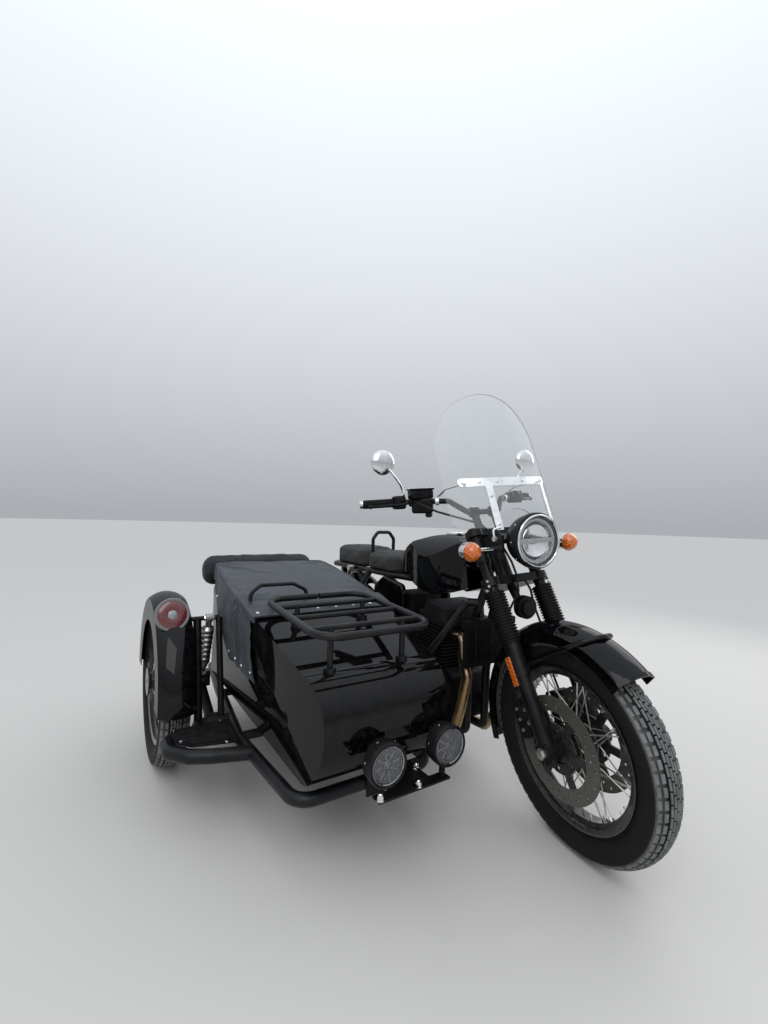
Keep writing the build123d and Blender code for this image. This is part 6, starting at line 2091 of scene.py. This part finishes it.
@dataclass
class FogLamps(Assembly):
    """Two spot lamps: bezels, glass, reflectors and bolts."""

    xs: tuple[float, float] = (-623.0, -412.0)
    face_y: float = 137.0
    height: float = 360.0
    shelf_nuts: tuple[Flat, ...] = ((-632.0, 150.0), (-505.0, 151.0), (-456.0, 226.0))

    def make_cores(self, lamps: Sequence[Matrix]) -> Parts:
        """The hub and the eight ribs in each lamp."""
        for at in lamps:
            yield spun([(1, 0), (1, 12), (4, 12), (6.4, 9), (7.0, 0)], at, 8)
            for angle in range(0, 360, 45):
                yield block((3.2, 7, 24), at @ turned(angle + 12, "X") @ moved(3.6, 0, 27), 1.0, 1)

    def make_bolts(self, lamps: Sequence[Matrix]) -> Parts:
        """Screws round the lamps, acorn nuts on the shelf and bolts on its front edge.

        Args:
            lamps: Where each lamp stands.

        Returns:
            The parts, one by one.
        """
        for at in lamps:
            for angle in range(0, 360, 60):
                place = at @ turned(angle + 20, "X") @ moved(-18, 0, 56.6) @ turned(-90, "Y")
                yield stud(3.2, 3.0, place, 12, 0.35)
        for x, y in self.shelf_nuts:
            yield spun([(0, 0), (0, 13), (2, 13.4), (2.4, 0)], stand((x, y, 262.2), (0, 0, 1)), 24)
            yield stud(9, 9, stand((x, y, 264.2), (0, 0, 1)), 6, 0.1)
            acorn = [(0, 0), (0, 8), (4, 7.4), (7.4, 4.6), (8.6, 0)]
            yield spun(acorn, stand((x, y, 273), (0, 0, 1)), 24)
        for x in (-560, -446):
            yield stud(8, 7, stand((x, 273.5, 228), (0, -1, 0)), 6, 0.25)

    def build(self) -> None:
        """Makes the lamps' pieces."""
        lamps = [stand((x, self.face_y, self.height), (0, -1, 0)) for x in self.xs]
        bezel = [(-8, 57.3), (-8, 59.5), (8, 59.5), (13, 57), (14, 54), (12, 50.5), (3, 49), (1, 49)]
        bezel.append((1, 57.3))
        ring = [(8, 49.4), (11.6, 50), (12, 49), (10.4, 46.6), (7, 46.6)]
        glass = [(8.6, 0), (8.6, 46), (10, 46.2), (12.5, 38), (14.2, 22), (14.8, 0)]
        bowl = [(0.6, 0), (0.6, 15), (1.2, 24), (3, 34), (7, 44), (7.4, 45.4), (0.4, 45.4), (0.3, 0)]
        self.add("fog_bezels", [spun(bezel, at, 56, True) for at in lamps], FORK_COAT)
        # Rims, reflectors and ribs take chrome darkened as painted shade.
        self.add("fog_rings", [spun(ring, at, 56, True) for at in lamps], SHADED_FOG_RIM)
        self.add("fog_glass", [spun(glass, at, 48) for at in lamps], LAMP_GLASS)
        self.add("fog_bowls", [spun(bowl, at, 24) for at in lamps], SHADED_FOG_MIRROR, smooth=10.0)
        self.add("fog_cores", self.make_cores(lamps), SHADED_FOG_RIBS)
        self.add("fog_bolts", self.make_bolts(lamps), CHROME)
        dress("fog_lamps", CAST)


@dataclass
class MarkerLamp(Assembly):
    """The round lamp on the sidecar's mudguard: grey bezel, red ring and clear centre."""

    centre: Point = (-1036.0, 968.0, 634.0)
    tilt: float = 12.0

    def build(self) -> None:
        """Makes the lamp's pieces."""
        lean = math.radians(self.tilt)
        at = stand(self.centre, (0, -math.cos(lean), math.sin(lean)))
        bezel = [(-3, 60.3), (-3, 61.4), (3, 61.4), (5.5, 60), (6, 57), (5, 50.5), (0.5, 49.5), (0.5, 60.3)]
        self.add("marker_bezel", spun(bezel, at, 60, True), LAMP_GREY)
        red = [(0.5, 16), (0.5, 50), (4, 50), (6.5, 44), (8, 32), (8, 22), (6.5, 16)]
        self.add("marker_lens", spun(red, at, 60, True), RED)
        clear = [(0.5, 0), (0.5, 15.8), (7.5, 15.8), (9.5, 12), (10.5, 6), (10.8, 0)]
        self.add("marker_centre", spun(clear, at, 36), PRISM)
        dress("marker_lamp", CAST)


@dataclass
class Step(Assembly):
    """The step's ribbed mat and its bolts."""

    top_z: float = 264.3
    outline: tuple[Flat, ...] = ((-880, 668), (-1000, 698), (-1040, 746), (-1040, 826), (-874, 826))
    bolts: tuple[Flat, ...] = ((-1036, 826), (-883, 828), (-902, 664), (-1030, 738))

    def make_mat(self) -> Parts:
        """A rubber mat with a raised rim and ribs."""
        bm = bmesh.new()
        face = bm.faces.new([bm.verts.new((x, y, self.top_z + 0.2)) for x, y in self.outline])
        lifted = bmesh.ops.extrude_face_region(bm, geom=[face])
        top = [v for v in lifted["geom"] if isinstance(v, BMVert)]
        bmesh.ops.translate(bm, vec=(0, 0, 4.0), verts=top)
        bm.normal_update()
        faces = [f for f in bm.faces if f.calc_center_median().z > self.top_z + 3]
        bmesh.ops.inset_region(bm, faces=faces, thickness=6.0, depth=-1.6)
        bmesh.ops.recalc_face_normals(bm, faces=bm.faces)
        yield bm
        for number in range(13):
            y = 688 + number * 10.6
            left = -886.0 if y < 826 else -880.0
            right = -960.0 - 70.0 * ramp(y, 688, 738)
            at = moved((left + right) / 2, y, self.top_z + 3.4)
            yield block((left - right, 4.2, 2.4), at, 0.8, 1)

    def build(self) -> None:
        """Makes the mat and bolts."""
        self.add("step_mat", self.make_mat(), GRIP)
        places = [stand((x, y, self.top_z + 0.2), (0, 0, 1)) for x, y in self.bolts]
        self.add("step_bolts", [stud(6.5, 4.2, place, 18, 0.4) for place in places], CHROME)
        dress("step_plate", SATIN)


@dataclass
class Sidecar(Assembly):
    """The sidecar's chassis, body, soft goods and fittings."""

    shock_top: Point = (-893.0, 1020.0, 600.0)

    def make_shock_caps(self) -> Parts:
        """Chrome caps and nuts at the shock's head."""
        x, y, z = self.shock_top
        for side in (-1, 1):
            yield stud(12, 7, stand((x + side * 14, y, z), (side, 0, 0)), 6)

    def build(self) -> None:
        """Dresses the sidecar's nodes and makes its small pieces."""
        finishes = {
            "sidecar_frame": TUBE_COAT, "sidecar_struts": TUBE_COAT, "sidecar_body": GLOSS,
            "grab_hoop": TUBE_COAT, "luggage_rack": TUBE_COAT, "sidecar_mudguard": GLOSS,
            "wheel_arm": TUBE_COAT, "sidecar_shock": STAINLESS, "boot_lid": GLOSS,
        }
        for node, finish in finishes.items():
            dress(node, finish)
        self.add("shock_caps", self.make_shock_caps(), CHROME)
        FogLamps().build()
        MarkerLamp().build()
        Step().build()
        Tonneau().build()
        CowlPad().build()
        SoftTop().build()
        Cushion("sidecar_cushion", "sidecar_seat", 0.7, voxel=9.0).build()


# The studio


@dataclass
class Studio:
    """Pale floor, soft light and the camera at the photograph's view."""

    eye: Point = (-1308.0, -878.0, 1010.0)
    heading: float = -32.8
    tilt: float = 0.87
    roll: float = 1.61
    focal_px: float = 458.1
    long_side_px: float = 1024.0
    sensor: float = 36.0
    sky_colour: Point = (0.90, 0.94, 1.0)
    horizon: float = 0.45
    zenith: float = 1.20
    lamp: float = 60.0

    def make_camera(self) -> None:
        """The camera, solved from the photograph."""
        data = bpy.data.cameras.new("camera")
        data.sensor_width = self.sensor
        data.lens = self.focal_px / self.long_side_px * self.sensor
        data.clip_start = 0.05
        data.clip_end = 200.0
        camera = linked("camera", data)
        turn = turned(self.heading, "Z") @ turned(90 + self.tilt, "X") @ turned(self.roll, "Z")
        camera.matrix_world = Matrix.Translation(PLACE.point(self.eye)) @ turn
        bpy.context.scene.camera = camera

    def make_floor(self) -> None:
        """A pale floor under the machine."""
        bm = bmesh.new()
        bmesh.ops.create_circle(bm, cap_ends=True, segments=64, radius=60.0)
        mesh = bpy.data.meshes.new("studio_floor")
        bm.to_mesh(mesh)
        bm.free()
        floor = linked("studio_floor", mesh)
        pale = bpy.data.materials.new("floor_pale")
        Shader(pale).surface(Base_Color=(0.58, 0.565, 0.54), Roughness=0.85)
        mesh.materials.append(pale)
        floor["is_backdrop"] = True

    def make_light(self) -> None:
        """A soft sky, pale at the horizon and brightest overhead, and two broad lamps."""
        world = bpy.data.worlds.new("studio_sky")
        bpy.context.scene.world = world
        shader = Shader(world)
        height = shader.part(shader.node("ShaderNodeTexCoord", output="Generated"), "Z")
        low, high = (tuple(c * level for c in self.sky_colour) for level in (self.horizon, self.zenith))
        shader.surface(Color=shader.mix(height.spread(0.0, 0.85, 0.0, 1.0), low, high))
        for name, spot, size, power in (
            ("key_lamp", (-2600.0, -2200.0, 3600.0), 3.2, self.lamp),
            ("side_lamp", (3200.0, 600.0, 2600.0), 2.6, self.lamp * 0.5),
        ):
            data = bpy.data.lights.new(name, "AREA")
            data.size = size
            data.energy = power
            lamp = linked(name, data)
            place = PLACE.point(spot)
            aim = PLACE.point((-300.0, 700.0, 400.0)) - place
            lamp.matrix_world = Matrix.Translation(place) @ aim.to_track_quat("-Z", "Y").to_matrix().to_4x4()

    def build(self) -> None:
        """Sets up the studio."""
        self.make_camera()
        self.make_floor()
        self.make_light()
        bpy.context.scene.view_settings.view_transform = "Standard"


def note_sizes() -> None:
    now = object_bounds()
    sizes = {"cad": [list(c) for c in CAD_BOX], "visual": [list(c) for c in now]}
    log.info("cad box %s visual box %s", sizes["cad"], sizes["visual"])


def main() -> None:
    """Builds the studio and the machine, in order."""
    logging.basicConfig(level=logging.INFO, format="%(message)s")
    Studio().build()
    RoadWheel("front", (0.0, 1.0, 327.0), body=Body.FRONT_WHEEL, steered=True).build()
    RoadWheel("rear", (0.0, 1445.0, 327.0), half=62.0, disc_outer=0.128, body=Body.REAR_WHEEL).build()
    RoadWheel("sidecar", (-1024.0, 1195.0, 327.0), disc_outer=0.118, body=Body.SIDECAR_WHEEL).build()
    FrontEnd().build()
    Cockpit().build()
    Motorcycle().build()
    Sidecar().build()
    note_sizes()


if __name__ == "__main__":
    main()
